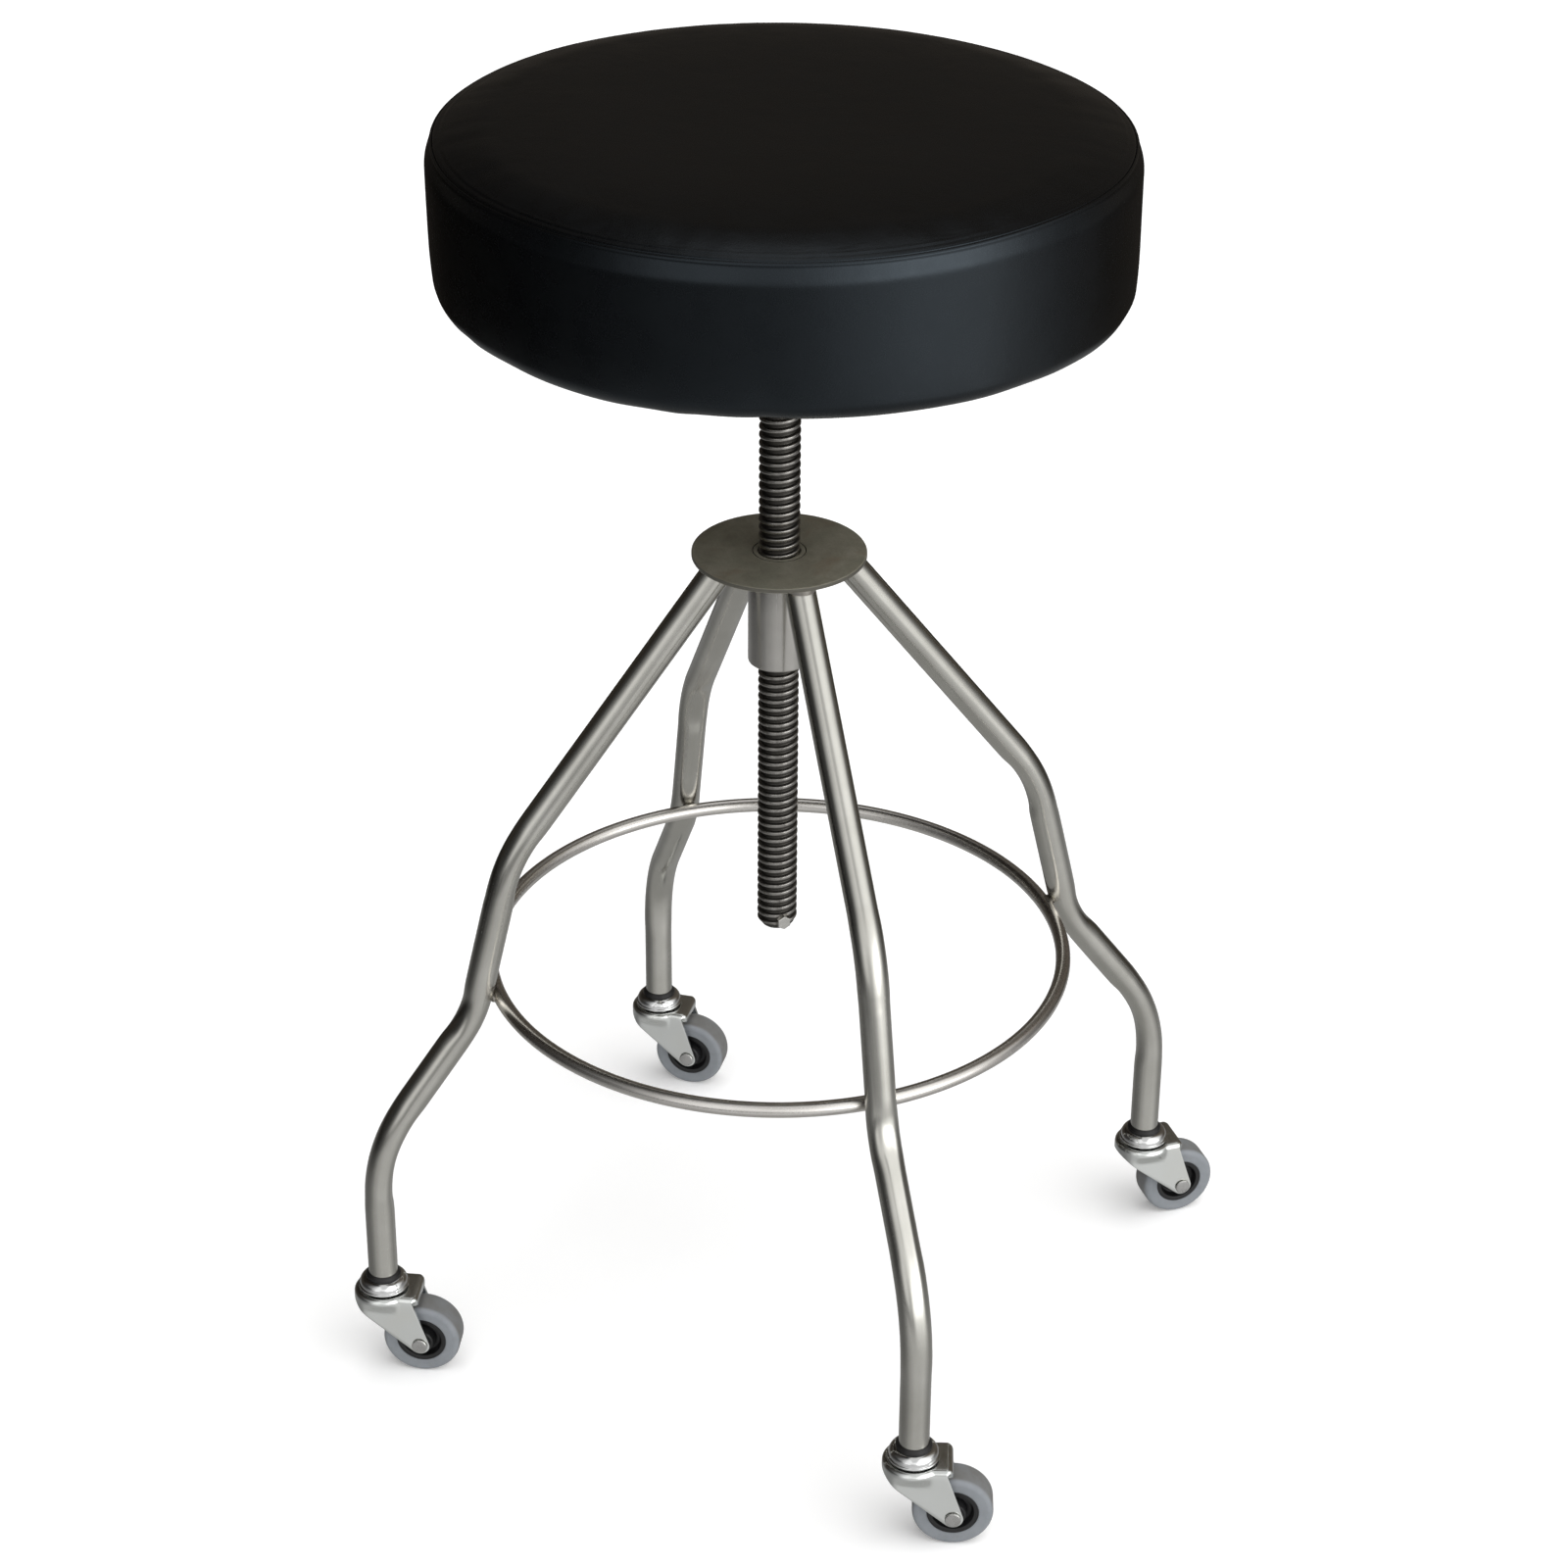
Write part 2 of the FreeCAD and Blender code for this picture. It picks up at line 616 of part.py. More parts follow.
def leg_path_sketch(body, name):
    sk = new_sketch(body, "XZ_Plane", name)
    info = []
    for piece in path_pieces:
        if piece[0] == "line":
            a, b = piece[1], piece[2]
            gid = sk.addGeometry(Part.LineSegment(Vector(a[0], a[1], 0), Vector(b[0], b[1], 0)), False)
            info.append((gid, 1, 2, "line"))
        else:
            a, b, cen, rad = piece[1:]
            a0 = math.atan2(a[1] - cen[1], a[0] - cen[0])
            a1 = math.atan2(b[1] - cen[1], b[0] - cen[0])
            turn = (a1 - a0) % (2 * math.pi)
            ccw = turn < math.pi
            s, e = (a0, a1) if ccw else (a1, a0)
            if e <= s:
                e += 2 * math.pi
            gid = sk.addGeometry(Part.ArcOfCircle(Part.Circle(Vector(cen[0], cen[1], 0), Vector(0, 0, 1), rad), s, e), False)
            info.append((gid, 1, 2, "arc") if ccw else (gid, 2, 1, "arc"))
    for (g1, s1, e1, k1), (g2, s2, e2, k2) in zip(info, info[1:]):
        sk.addConstraint(Sketcher.Constraint("Tangent", g1, e1, g2, s2))
    k = 0
    for gid, s, e, kind in info:
        if kind == "arc":
            bind(sk, sk.addConstraint(Sketcher.Constraint("Radius", gid, num(rounds[k]))), rounds[k])
            k += 1
    lines = [i for i in info if i[3] == "line"]
    for i in range(1, len(corners) - 1):
        cx, cz = corners[i]
        pgeo = sk.addGeometry(Part.Point(Vector(num(cx), num(cz), 0)), True)
        sk.addConstraint(Sketcher.Constraint("PointOnObject", pgeo, 1, lines[i - 1][0]))
        sk.addConstraint(Sketcher.Constraint("PointOnObject", pgeo, 1, lines[i][0]))
        fix_point(sk, pgeo, 1, cx, cz)
    fix_point(sk, lines[0][0], lines[0][1], *corners[0])
    fix_point(sk, lines[-1][0], lines[-1][2], *corners[-1])
    return sk


LEGS = [("front", -90.0), ("right", 0.0), ("back", 90.0), ("left", 180.0)]
for side, ang in LEGS:
    leg = new_body("leg_" + side, about_z(ang))
    spine = leg_path_sketch(leg, "leg_%s_path" % side)
    ring = new_sketch(leg, "XY_Plane", "leg_%s_section" % side, z=D.foot_end, x=D.foot_radius)
    circle(ring, 0, 0, D.tube_radius)
    circle(ring, 0, 0, D.tube_radius - D.tube_wall)
    doc.recompute()
    pipe = leg.newObject("PartDesign::AdditivePipe", "leg_%s_tube" % side)
    pipe.Profile = ring
    pipe.Spine = (spine, [])
    doc.recompute()
    sk = new_sketch(leg, "XY_Plane", "leg_%s_level" % side, z=disc_low)
    circle(sk, D.leg_head_radius, 0, 60.0)
    pocket(leg, sk, None, up=True, name="level_cut")


def path_wire():
    out = []
    for piece in path_pieces:
        if piece[0] == "line":
            out.append(Part.makeLine(Vector(piece[1][0], 0, piece[1][1]), Vector(piece[2][0], 0, piece[2][1])))
        else:
            a, b, cen, rad = piece[1:]
            m = ((a[0] + b[0]) / 2 - cen[0], (a[1] + b[1]) / 2 - cen[1])
            ml = math.hypot(*m)
            mid = (cen[0] + m[0] / ml * rad, cen[1] + m[1] / ml * rad)
            out.append(Part.Arc(Vector(a[0], 0, a[1]), Vector(mid[0], 0, mid[1]), Vector(b[0], 0, b[1])).toShape())
    return Part.Wire(out)


tube_r = num(D.tube_radius)
foot_disc = Part.Wire([Part.makeCircle(tube_r, Vector(num(D.foot_radius), 0, num(D.foot_end)), Vector(0, 0, 1))])
leg_full = path_wire().makePipeShell([foot_disc], True, False)

foot_ring = new_body("foot_ring")
sk = new_sketch(foot_ring, "XZ_Plane", "foot_ring_section")
circle(sk, D.ring_radius, D.ring_height, D.ring_rod_radius)
rv = foot_ring.newObject("PartDesign::Revolution", "foot_ring_turned")
rv.Profile = sk
rv.ReferenceAxis = (sk, ["V_Axis"])
rv.Angle = 360.0
doc.recompute()

# weld beads: ring to legs, and legs to the top plate
blob = Part.makeSphere(1.0)
m = FreeCAD.Matrix()
m.scale(3.6, 9.5, 5.6)
blob = blob.transformGeometry(m)
blob.translate(Vector(num(D.ring_radius + D.ring_rod_radius) + 0.1, 0, num(D.ring_height)))
bead = blob.cut(leg_full).cut(foot_ring.Shape)
bead = max(bead.Solids, key=lambda s: s.Volume)
group("ring_welds", turned_copies(bead, 4))

slope = (flat_corners[3][0] - flat_corners[4][0]) / (flat_corners[4][1] - flat_corners[3][1])
lean = math.sqrt(1 + slope * slope)
zt = num(disc_low)
zc = zt - 4.0


def oval(z, grow):
    cx = flat_corners[4][0] + (flat_corners[4][1] - z) * slope
    e = Part.Ellipse(Vector(cx, 0, z), tube_r * lean + grow * lean, tube_r + grow)
    return Part.Wire([e.toShape()])


fillet_cone = Part.makeLoft([oval(zc, 0.25), oval(zt, 2.6)], True)
hub_room = Part.makeCylinder(num(D.hub_radius) + 3.45, 20.0, Vector(0, 0, zt - 10.0))
collar_bead = fillet_cone.cut(leg_full).cut(hub_room)
collar_bead = max(collar_bead.Solids, key=lambda s: s.Volume)
group("leg_welds", turned_copies(collar_bead, 4))


# ---------------------------------------------------------------- casters
# Friction-stem swivel caster: the sleeve, stem and cap stay with the leg; the pressed
# fork turns on a ball race under the cap and carries the wheel on a riveted axle.
def tangent_point(px, pz, cx, cz, rad, sign):
    dx, dz = cx - px, cz - pz
    d = math.hypot(dx, dz)
    base = math.atan2(dz, dx)
    off = math.asin(rad / d)
    length = math.sqrt(d * d - rad * rad)
    a = base + sign * off
    return px + length * math.cos(a), pz + length * math.sin(a)


def build_caster(side, leg_angle, yaw):
    n = "caster_%s_" % side
    fx = num(D.foot_radius) * math.cos(math.radians(leg_angle))
    fy = num(D.foot_radius) * math.sin(math.radians(leg_angle))
    fixed = Placement(Vector(fx, fy, 0), Rotation())
    turning = Placement(Vector(fx, fy, 0), Rotation(Vector(0, 0, 1), yaw))
    at_axle = turning.multiply(Placement(Vector(num(D.trail), 0, num(D.wheel_radius)), Rotation()))

    sleeve = new_body(n + "sleeve", fixed)
    low = D.cap_top + 0.1
    high = D.foot_end - 0.05
    bore = D.stem_radius + 0.05
    revolve(
        sleeve,
        [
            (bore, low),
            (D.sleeve_radius - 0.5, low),
            (D.sleeve_radius, low + 0.6),
            (D.sleeve_radius - 0.9, high),
            (D.sleeve_plug_radius, high),
            (D.sleeve_plug_radius, D.stem_top - 1.0),
            (D.sleeve_plug_radius - 1.0, D.stem_top),
            (bore, D.stem_top),
        ],
    )

    stem = new_body(n + "stem", fixed)
    under = D.fork_crown_top - D.fork_plate - 0.3
    revolve(
        stem,
        [
            (0.0, under - 2.8),
            (6.0, under - 2.8),
            (7.0, under - 1.8),
            (7.0, under),
            (D.stem_radius, under),
            (D.stem_radius, D.stem_top - 1.0),
            (D.stem_radius - 1.0, D.stem_top),
            (0.0, D.stem_top),
        ],
    )

    cap = new_body(n + "cap", fixed)
    p1 = (num(D.cap_radius) - 0.6, num(D.cap_lip) + 2.0)
    p2 = (num(D.sleeve_radius) + 0.1, num(D.cap_top))
    rad = 7.0
    mx, mz = (p1[0] + p2[0]) / 2, (p1[1] + p2[1]) / 2
    ux, uz = p2[0] - p1[0], p2[1] - p1[1]
    half = math.hypot(ux, uz) / 2
    off = math.sqrt(rad * rad - half * half)
    nx, nz = -uz / (2 * half), ux / (2 * half)
    revolve(
        cap,
        [
            (bore, D.cap_top - D.cap_plate),
            (D.sleeve_radius - 1.0, D.cap_top - D.cap_plate),
            (D.cap_radius - 2.2, D.cap_lip + 2.2),
            (D.cap_radius - 1.1, D.cap_lip),
            (D.cap_radius, D.cap_lip),
            (D.cap_radius, D.cap_lip + 1.4),
            (D.cap_radius - 0.6, D.cap_lip + 2.0, rad, mx + nx * off, mz + nz * off, True),
            (D.sleeve_radius + 0.1, D.cap_top),
            (bore, D.cap_top),
        ],
    )

    fork = new_body(n + "fork", turning)
    base_z = 14.0

    def plan(sk, crown_r, half_w, blend, tail):
        cr, hw, bl = num(crown_r), num(half_w), num(blend)
        xc = math.sqrt((cr + bl) ** 2 - (hw + bl) ** 2)
        tx, ty = xc * cr / (cr + bl), (hw + bl) * cr / (cr + bl)
        outline(
            sk,
            [
                (tail, half_w),
                (xc, half_w, blend, xc, hw + bl, False),
                (tx, ty, crown_r, 0.0, 0.0, True),
                (tx, -ty, blend, xc, -(hw + bl), False),
                (xc, -half_w),
                (tail, -half_w),
            ],
        )

    sk = new_sketch(fork, "XY_Plane", n + "fork_plan", z=base_z)
    block_end = D.trail + D.fork_boss_radius + 3.0
    plan(sk, D.fork_crown_radius, D.fork_half_width, D.fork_blend, block_end)
    blk = pad(fork, sk, D.fork_crown_top - base_z)
    tail_x = num(block_end)
    ztop = num(D.fork_crown_top)

    def shoulder(e):
        b = e.BoundBox
        return abs(b.ZMin - ztop) < 0.01 and abs(b.ZMax - ztop) < 0.01 and not (abs(b.XMin - tail_x) < 0.01 and abs(b.XMax - tail_x) < 0.01)

    fillet(fork, blk, edges_where(blk.Shape, shoulder), D.fork_shoulder)
    sk = new_sketch(fork, "XY_Plane", n + "fork_inside", z=base_z)
    plan(sk, D.fork_crown_radius - D.fork_plate, D.fork_half_width - D.fork_plate, D.fork_blend + D.fork_plate, block_end + 5.0)
    inside = pocket(fork, sk, D.fork_crown_top - D.fork_plate - base_z, up=True, name="inside")
    zin = ztop - num(D.fork_plate)

    def inner_top(e):
        b = e.BoundBox
        return abs(b.ZMin - zin) < 0.01 and abs(b.ZMax - zin) < 0.01 and not (abs(b.XMin - tail_x) < 0.01 and abs(b.XMax - tail_x) < 0.01)

    fillet(fork, inside, edges_where(inside.Shape, inner_top), 1.4, name="inside_round")
    # side outline: slanting leading edge, round axle boss, steep trailing edge
    ax, az, br = num(D.trail), num(D.wheel_radius), num(D.fork_boss_radius)
    lead_pt = (-num(D.fork_crown_radius) - 2.5, 57.0)
    tail_pt = (num(D.fork_tail), ztop - 1.0)
    t1 = tangent_point(lead_pt[0], lead_pt[1], ax, az, br, -1)
    t2 = tangent_point(tail_pt[0], tail_pt[1], ax, az, br, 1)
    sk = new_sketch(fork, "XZ_Plane", n + "fork_side")
    outline(sk, [(-45.0, 2.0), (60.0, 2.0), (60.0, 75.0), (-45.0, 75.0)])
    outline(
        sk,
        [
            lead_pt,
            (t1[0], t1[1], D.fork_boss_radius, ax, az, True),
            (t2[0], t2[1]),
            tail_pt,
            (tail_pt[0], ztop + 2.0),
            (lead_pt[0], ztop + 2.0),
        ],
    )
    pocket(fork, sk, None, both=True, name="side_cut")
    sk = new_sketch(fork, "XZ_Plane", n + "fork_axle")
    circle(sk, D.trail, D.wheel_radius, D.axle_radius + 0.03)
    pocket(fork, sk, None, both=True, name="axle_hole")
    sk = new_sketch(fork, "XY_Plane", n + "fork_stem", z=40.0)
    circle(sk, 0, 0, D.stem_radius + 0.05)
    pocket(fork, sk, 40.0, up=True, name="stem_hole")
    before = fork.Shape.Volume
    sk = new_sketch(fork, "XZ_Plane", n + "fork_race")
    circle(sk, D.ball_circle, D.fork_crown_top + 1.6, D.ball_radius + 0.05)
    gr = fork.newObject("PartDesign::Groove", n + "fork_groove")
    gr.Profile = sk
    gr.ReferenceAxis = (sk, ["V_Axis"])
    gr.Angle = 360.0
    doc.recompute()
    if not fork.Shape.Volume < before - 1.0:
        raise RuntimeError("race groove removed nothing")

    ball = Part.makeSphere(num(D.ball_radius))
    ball.translate(Vector(num(D.ball_circle), 0, num(D.fork_crown_top) + 1.6))
    balls = group(n + "balls", turned_copies(ball, 12))
    balls.Placement = turning

    fh = D.fork_half_width
    axle = new_body(n + "axle", at_axle)
    hr, hh = D.axle_head_radius, D.axle_head
    revolve(
        axle,
        [
            (0.0, -(fh + hh)),
            (hr - 1.0, -(fh + hh)),
            (hr, -(fh + hh - 0.7)),
            (hr, -fh),
            (D.axle_radius, -fh),
            (D.axle_radius, fh),
            (hr, fh),
            (hr, fh + hh - 0.7),
            (hr - 1.0, fh + hh),
            (0.0, fh + hh),
        ],
        role="XY_Plane",
    )

    bush_b = new_body(n + "bush", at_axle)
    bl = D.fork_half_width - D.fork_plate - 0.05
    revolve(
        bush_b,
        [
            (D.axle_radius + 0.03, -bl),
            (D.bush_radius, -bl),
            (D.bush_radius, bl),
            (D.axle_radius + 0.03, bl),
        ],
        role="XY_Plane",
    )

    hubw = new_body(n + "wheel_hub", at_axle)
    rim_r = D.tread_inner_radius - 0.03
    rw = D.wheel_half_width - 0.5
    revolve(
        hubw,
        [
            (D.bush_radius + 0.06, -12.4),
            (7.6, -12.4),
            (8.2, -11.8),
            (8.6, -3.4),
            (12.6, -3.4),
            (13.2, -rw),
            (rim_r, -rw),
            (rim_r, rw),
            (13.2, rw),
            (12.6, 3.4),
            (8.6, 3.4),
            (8.2, 11.8),
            (7.6, 12.4),
            (D.bush_radius + 0.06, 12.4),
        ],
        role="XY_Plane",
    )

    tread = new_body(n + "tread", at_axle)
    wr, hw, tr = D.wheel_radius, D.wheel_half_width, D.tread_round
    revolve(
        tread,
        [
            (D.tread_inner_radius, -hw),
            (wr - tr, -hw, tr, wr - tr, tr - hw, True),
            (wr, tr - hw),
            (wr, hw - tr, tr, wr - tr, hw - tr, True),
            (wr - tr, hw),
            (D.tread_inner_radius, hw),
        ],
        role="XY_Plane",
    )


yaws = {"front": D.yaw_front, "right": D.yaw_right, "back": D.yaw_back, "left": D.yaw_left}
for side, ang in LEGS:
    build_caster(side, ang, num(yaws[side]))

# ---------------------------------------------------------------- check and write
doc.recompute()
bad = [o.Name for o in doc.Objects if any(s in ("Invalid", "Error") for s in o.State)]
if bad:
    raise RuntimeError("failed objects: " + ", ".join(bad))
for o in NODES:
    if o.Shape.isNull() or not o.Shape.isValid() or not o.Shape.Solids:
        raise RuntimeError("bad shape: " + o.Label)
    if any(s.Volume <= 0 for s in o.Shape.Solids):
        raise RuntimeError("inside-out solid: " + o.Label)
os.makedirs("parts", exist_ok=True)
for o in NODES:
    o.Shape.exportStep(os.path.join("parts", o.Label + ".step"))
    print("%-24s solids %3d  volume %10.1f mm3" % (o.Label, len(o.Shape.Solids), o.Shape.Volume))
print(len(NODES), "nodes")
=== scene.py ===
import math
import random

import bmesh
import bpy
import numpy as np
from mathutils import Matrix, Vector
from mathutils.kdtree import KDTree


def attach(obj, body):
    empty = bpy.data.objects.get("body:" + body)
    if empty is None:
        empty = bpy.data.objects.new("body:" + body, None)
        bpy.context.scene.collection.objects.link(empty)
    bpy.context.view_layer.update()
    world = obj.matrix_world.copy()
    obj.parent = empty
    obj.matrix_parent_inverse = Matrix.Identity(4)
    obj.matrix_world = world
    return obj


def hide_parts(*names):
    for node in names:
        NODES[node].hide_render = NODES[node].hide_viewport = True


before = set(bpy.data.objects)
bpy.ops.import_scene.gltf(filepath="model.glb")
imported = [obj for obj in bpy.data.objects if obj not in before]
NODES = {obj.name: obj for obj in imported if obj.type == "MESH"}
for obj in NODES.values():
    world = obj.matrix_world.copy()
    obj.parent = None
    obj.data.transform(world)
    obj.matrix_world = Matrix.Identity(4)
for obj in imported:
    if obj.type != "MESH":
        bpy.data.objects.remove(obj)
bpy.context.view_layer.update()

MM = 0.001
scene = bpy.context.scene

# ------------------------------------------------------------------ camera
# Viewing angle of the photograph, in the frame of the part (legs on the axes).
TURN = math.radians(-18.62)
CAM_BACK, CAM_UP = 2.03495, 1.54657
YAW, PITCH, ROLL = math.radians(0.11), math.radians(29.59), math.radians(-0.42)
LENS = 85.13


def make_camera():
    spin = Matrix.Rotation(TURN, 3, "Z")
    fwd = Vector((math.sin(YAW) * math.cos(PITCH), math.cos(YAW) * math.cos(PITCH), -math.sin(PITCH)))
    right = Vector((math.cos(YAW), -math.sin(YAW), 0.0))
    down = fwd.cross(right)
    c, s = math.cos(ROLL), math.sin(ROLL)
    r2 = c * right + s * down
    d2 = -s * right + c * down
    r2, d2, fwd = spin @ r2, spin @ d2, spin @ fwd
    place = spin @ Vector((0.0, -CAM_BACK, CAM_UP))
    data = bpy.data.cameras.new("photo_camera")
    data.sensor_fit = "HORIZONTAL"
    data.sensor_width = 36.0
    data.lens = LENS
    data.clip_start, data.clip_end = 0.05, 60.0
    cam = bpy.data.objects.new("photo_camera", data)
    m = Matrix((
        (r2.x, -d2.x, -fwd.x, place.x),
        (r2.y, -d2.y, -fwd.y, place.y),
        (r2.z, -d2.z, -fwd.z, place.z),
        (0, 0, 0, 1),
    ))
    cam.matrix_world = m
    scene.collection.objects.link(cam)
    scene.camera = cam


make_camera()


# ------------------------------------------------------------------ mesh helpers
def add_object(name, verts, faces, uvs=None, sharp=38.0, matrix=None):
    me = bpy.data.meshes.new(name)
    me.from_pydata([tuple(v) for v in verts], [], [tuple(f) for f in faces])
    if uvs is not None:
        layer = me.uv_layers.new(name="UVMap")
        flat = np.zeros(len(me.loops) * 2)
        idx = np.zeros(len(me.loops), np.int32)
        me.loops.foreach_get("vertex_index", idx)
        if isinstance(uvs, list) and len(uvs) == len(me.polygons):
            k = 0
            for poly_uv in uvs:
                for u, v in poly_uv:
                    flat[k], flat[k + 1] = u, v
                    k += 2
        layer.data.foreach_set("uv", flat)
    me.polygons.foreach_set("use_smooth", [True] * len(me.polygons))
    me.update()
    if sharp is not None:
        me.set_sharp_from_angle(angle=math.radians(sharp))
    ob = bpy.data.objects.new(name, me)
    if matrix is not None:
        me.transform(matrix)
    scene.collection.objects.link(ob)
    return ob


def tidy(ob, dist=1e-6):
    bm = bmesh.new()
    bm.from_mesh(ob.data)
    bmesh.ops.remove_doubles(bm, verts=bm.verts, dist=dist)
    bmesh.ops.recalc_face_normals(bm, faces=bm.faces)
    bm.to_mesh(ob.data)
    bm.free()
    ob.data.update()


def rounded(points, radii, steps=5):
    """Profile with its corners rounded. radii: {index: radius in the points' units}."""
    out = []
    n = len(points)
    for i, p in enumerate(points):
        r = radii.get(i, 0.0) if isinstance(radii, dict) else radii
        if r <= 0 or i in (0, n - 1):
            out.append((float(p[0]), float(p[1])))
            continue
        p = np.array(p, float)
        a = np.array(points[i - 1], float) - p
        b = np.array(points[i + 1], float) - p
        la, lb = np.linalg.norm(a), np.linalg.norm(b)
        a, b = a / la, b / lb
        ang = math.acos(max(-1.0, min(1.0, float(a @ b))))
        if ang > math.pi - 1e-3:
            out.append((float(p[0]), float(p[1])))
            continue
        t = min(r / math.tan(ang / 2), la * 0.49, lb * 0.49)
        rr = t * math.tan(ang / 2)
        bis = (a + b) / np.linalg.norm(a + b)
        cen = p + bis * (rr / math.sin(ang / 2))
        s, e = p + a * t - cen, p + b * t - cen
        a0, a1 = math.atan2(s[1], s[0]), math.atan2(e[1], e[0])
        d = (a1 - a0 + math.pi) % (2 * math.pi) - math.pi
        for k in range(steps + 1):
            th = a0 + d * k / steps
            out.append((float(cen[0] + rr * math.cos(th)), float(cen[1] + rr * math.sin(th))))
    return out


def lathe(name, profile, segs=96, closed=False, matrix=None, sharp=38.0, axis="Z"):
    """Turns a profile of (radius, height) in millimetres about an axis."""
    verts, faces, uvs = [], [], []
    ids = []
    length = [0.0]
    for a, b in zip(profile, profile[1:]):
        length.append(length[-1] + math.hypot(b[0] - a[0], b[1] - a[1]))
    for r, h in profile:
        if r < 1e-6:
            ids.append([len(verts)] * segs)
            verts.append((0.0, 0.0, h * MM))
        else:
            row = []
            for k in range(segs):
                t = 2 * math.pi * k / segs
                row.append(len(verts))
                verts.append((r * MM * math.cos(t), r * MM * math.sin(t), h * MM))
            ids.append(row)
    n = len(profile)
    last = n if closed else n - 1
    for j in range(last):
        a, b = ids[j], ids[(j + 1) % n]
        v0, v1 = length[j] * MM, (length[j + 1] if j + 1 < n else length[j] + 1.0) * MM
        for k in range(segs):
            k2 = (k + 1) % segs
            q = [a[k], a[k2], b[k2], b[k]]
            uvq = [(k / segs, v0), ((k + 1) / segs, v0), ((k + 1) / segs, v1), (k / segs, v1)]
            keep, ku = [], []
            for x, u in zip(q, uvq):
                if x not in keep:
                    keep.append(x)
                    ku.append(u)
            if len(keep) >= 3:
                faces.append(keep)
                uvs.append(ku)
    if axis == "Y":
        verts = [(x, z, -y) for x, y, z in verts]
    ob = add_object(name, verts, faces, uvs, None, matrix)
    bm = bmesh.new()
    bm.from_mesh(ob.data)
    bmesh.ops.recalc_face_normals(bm, faces=bm.faces)
    bm.to_mesh(ob.data)
    bm.free()
    ob.data.update()
    if sharp is not None:
        ob.data.set_sharp_from_angle(angle=math.radians(sharp))
    return ob


# ------------------------------------------------------------------ materials
def new_mat(name):
    m = bpy.data.materials.new(name)
    m.use_nodes = True
    nt = m.node_tree
    bsdf = nt.nodes["Principled BSDF"]
    return m, nt, bsdf


def node(nt, kind, **kw):
    n = nt.nodes.new(kind)
    for k, v in kw.items():
        setattr(n, k, v)
    return n


def coords(nt, source="Object", scale=(1, 1, 1)):
    tc = node(nt, "ShaderNodeTexCoord")
    mp = node(nt, "ShaderNodeMapping")
    mp.inputs["Scale"].default_value = scale
    nt.links.new(tc.outputs[source], mp.inputs["Vector"])
    return mp.outputs["Vector"]


def noise(nt, vec, scale, detail=4.0, rough=0.55, distort=0.0):
    n = node(nt, "ShaderNodeTexNoise")
    n.inputs["Scale"].default_value = scale
    n.inputs["Detail"].default_value = detail
    n.inputs["Roughness"].default_value = rough
    n.inputs["Distortion"].default_value = distort
    nt.links.new(vec, n.inputs["Vector"])
    return n.outputs["Fac"]


def span(nt, fac, lo, hi, a=0.0, b=1.0):
    n = node(nt, "ShaderNodeMapRange")
    n.inputs["From Min"].default_value = a
    n.inputs["From Max"].default_value = b
    n.inputs["To Min"].default_value = lo
    n.inputs["To Max"].default_value = hi
    nt.links.new(fac, n.inputs["Value"])
    return n.outputs["Result"]


def ramp(nt, fac, stops, mode="LINEAR"):
    n = node(nt, "ShaderNodeValToRGB")
    n.color_ramp.interpolation = mode
    els = n.color_ramp.elements
    while len(els) < len(stops):
        els.new(0.5)
    for e, (p, c) in zip(els, stops):
        e.position = p
        e.color = c if len(c) == 4 else (*c, 1.0)
    nt.links.new(fac, n.inputs["Fac"])
    return n.outputs["Color"]


def mixf(nt, fac, a, b):
    n = node(nt, "ShaderNodeMix", data_type="FLOAT")
    for sock, val in (("Factor", fac), ("A", a), ("B", b)):
        s = [i for i in n.inputs if i.name == sock and i.type == "VALUE"][0]
        if hasattr(val, "is_output"):
            nt.links.new(val, s)
        else:
            s.default_value = val
    return [o for o in n.outputs if o.type == "VALUE"][0]


def mixc(nt, fac, a, b, blend="MIX"):
    n = node(nt, "ShaderNodeMix", data_type="RGBA", blend_type=blend)
    f = [i for i in n.inputs if i.name == "Factor" and i.type == "VALUE"][0]
    if hasattr(fac, "is_output"):
        nt.links.new(fac, f)
    else:
        f.default_value = fac
    for sock, val in (("A", a), ("B", b)):
        s = [i for i in n.inputs if i.name == sock and i.type == "RGBA"][0]
        if hasattr(val, "is_output"):
            nt.links.new(val, s)
        else:
            s.default_value = val if len(val) == 4 else (*val, 1.0)
    return [o for o in n.outputs if o.type == "RGBA"][0]


def math_node(nt, op, a, b=None):
    n = node(nt, "ShaderNodeMath", operation=op)
    for i, val in enumerate((a, b)):
        if val is None:
            continue
        if hasattr(val, "is_output"):
            nt.links.new(val, n.inputs[i])
        else:
            n.inputs[i].default_value = val
    return n.outputs[0]


def bump(nt, bsdf, height, strength, distance, chain=None):
    b = node(nt, "ShaderNodeBump")
    b.inputs["Strength"].default_value = strength
    b.inputs["Distance"].default_value = distance
    nt.links.new(height, b.inputs["Height"])
    if chain is not None:
        nt.links.new(chain, b.inputs["Normal"])
    nt.links.new(b.outputs["Normal"], bsdf.inputs["Normal"])
    return b.outputs["Normal"]


def put(ob, m):
    ob.data.materials.clear()
    ob.data.materials.append(m)


def dress(names, m):
    for n in names:
        o = NODES[n]
        if o.data.materials:
            for i in range(len(o.data.materials)):
                o.data.materials[i] = m
        else:
            o.data.materials.append(m)


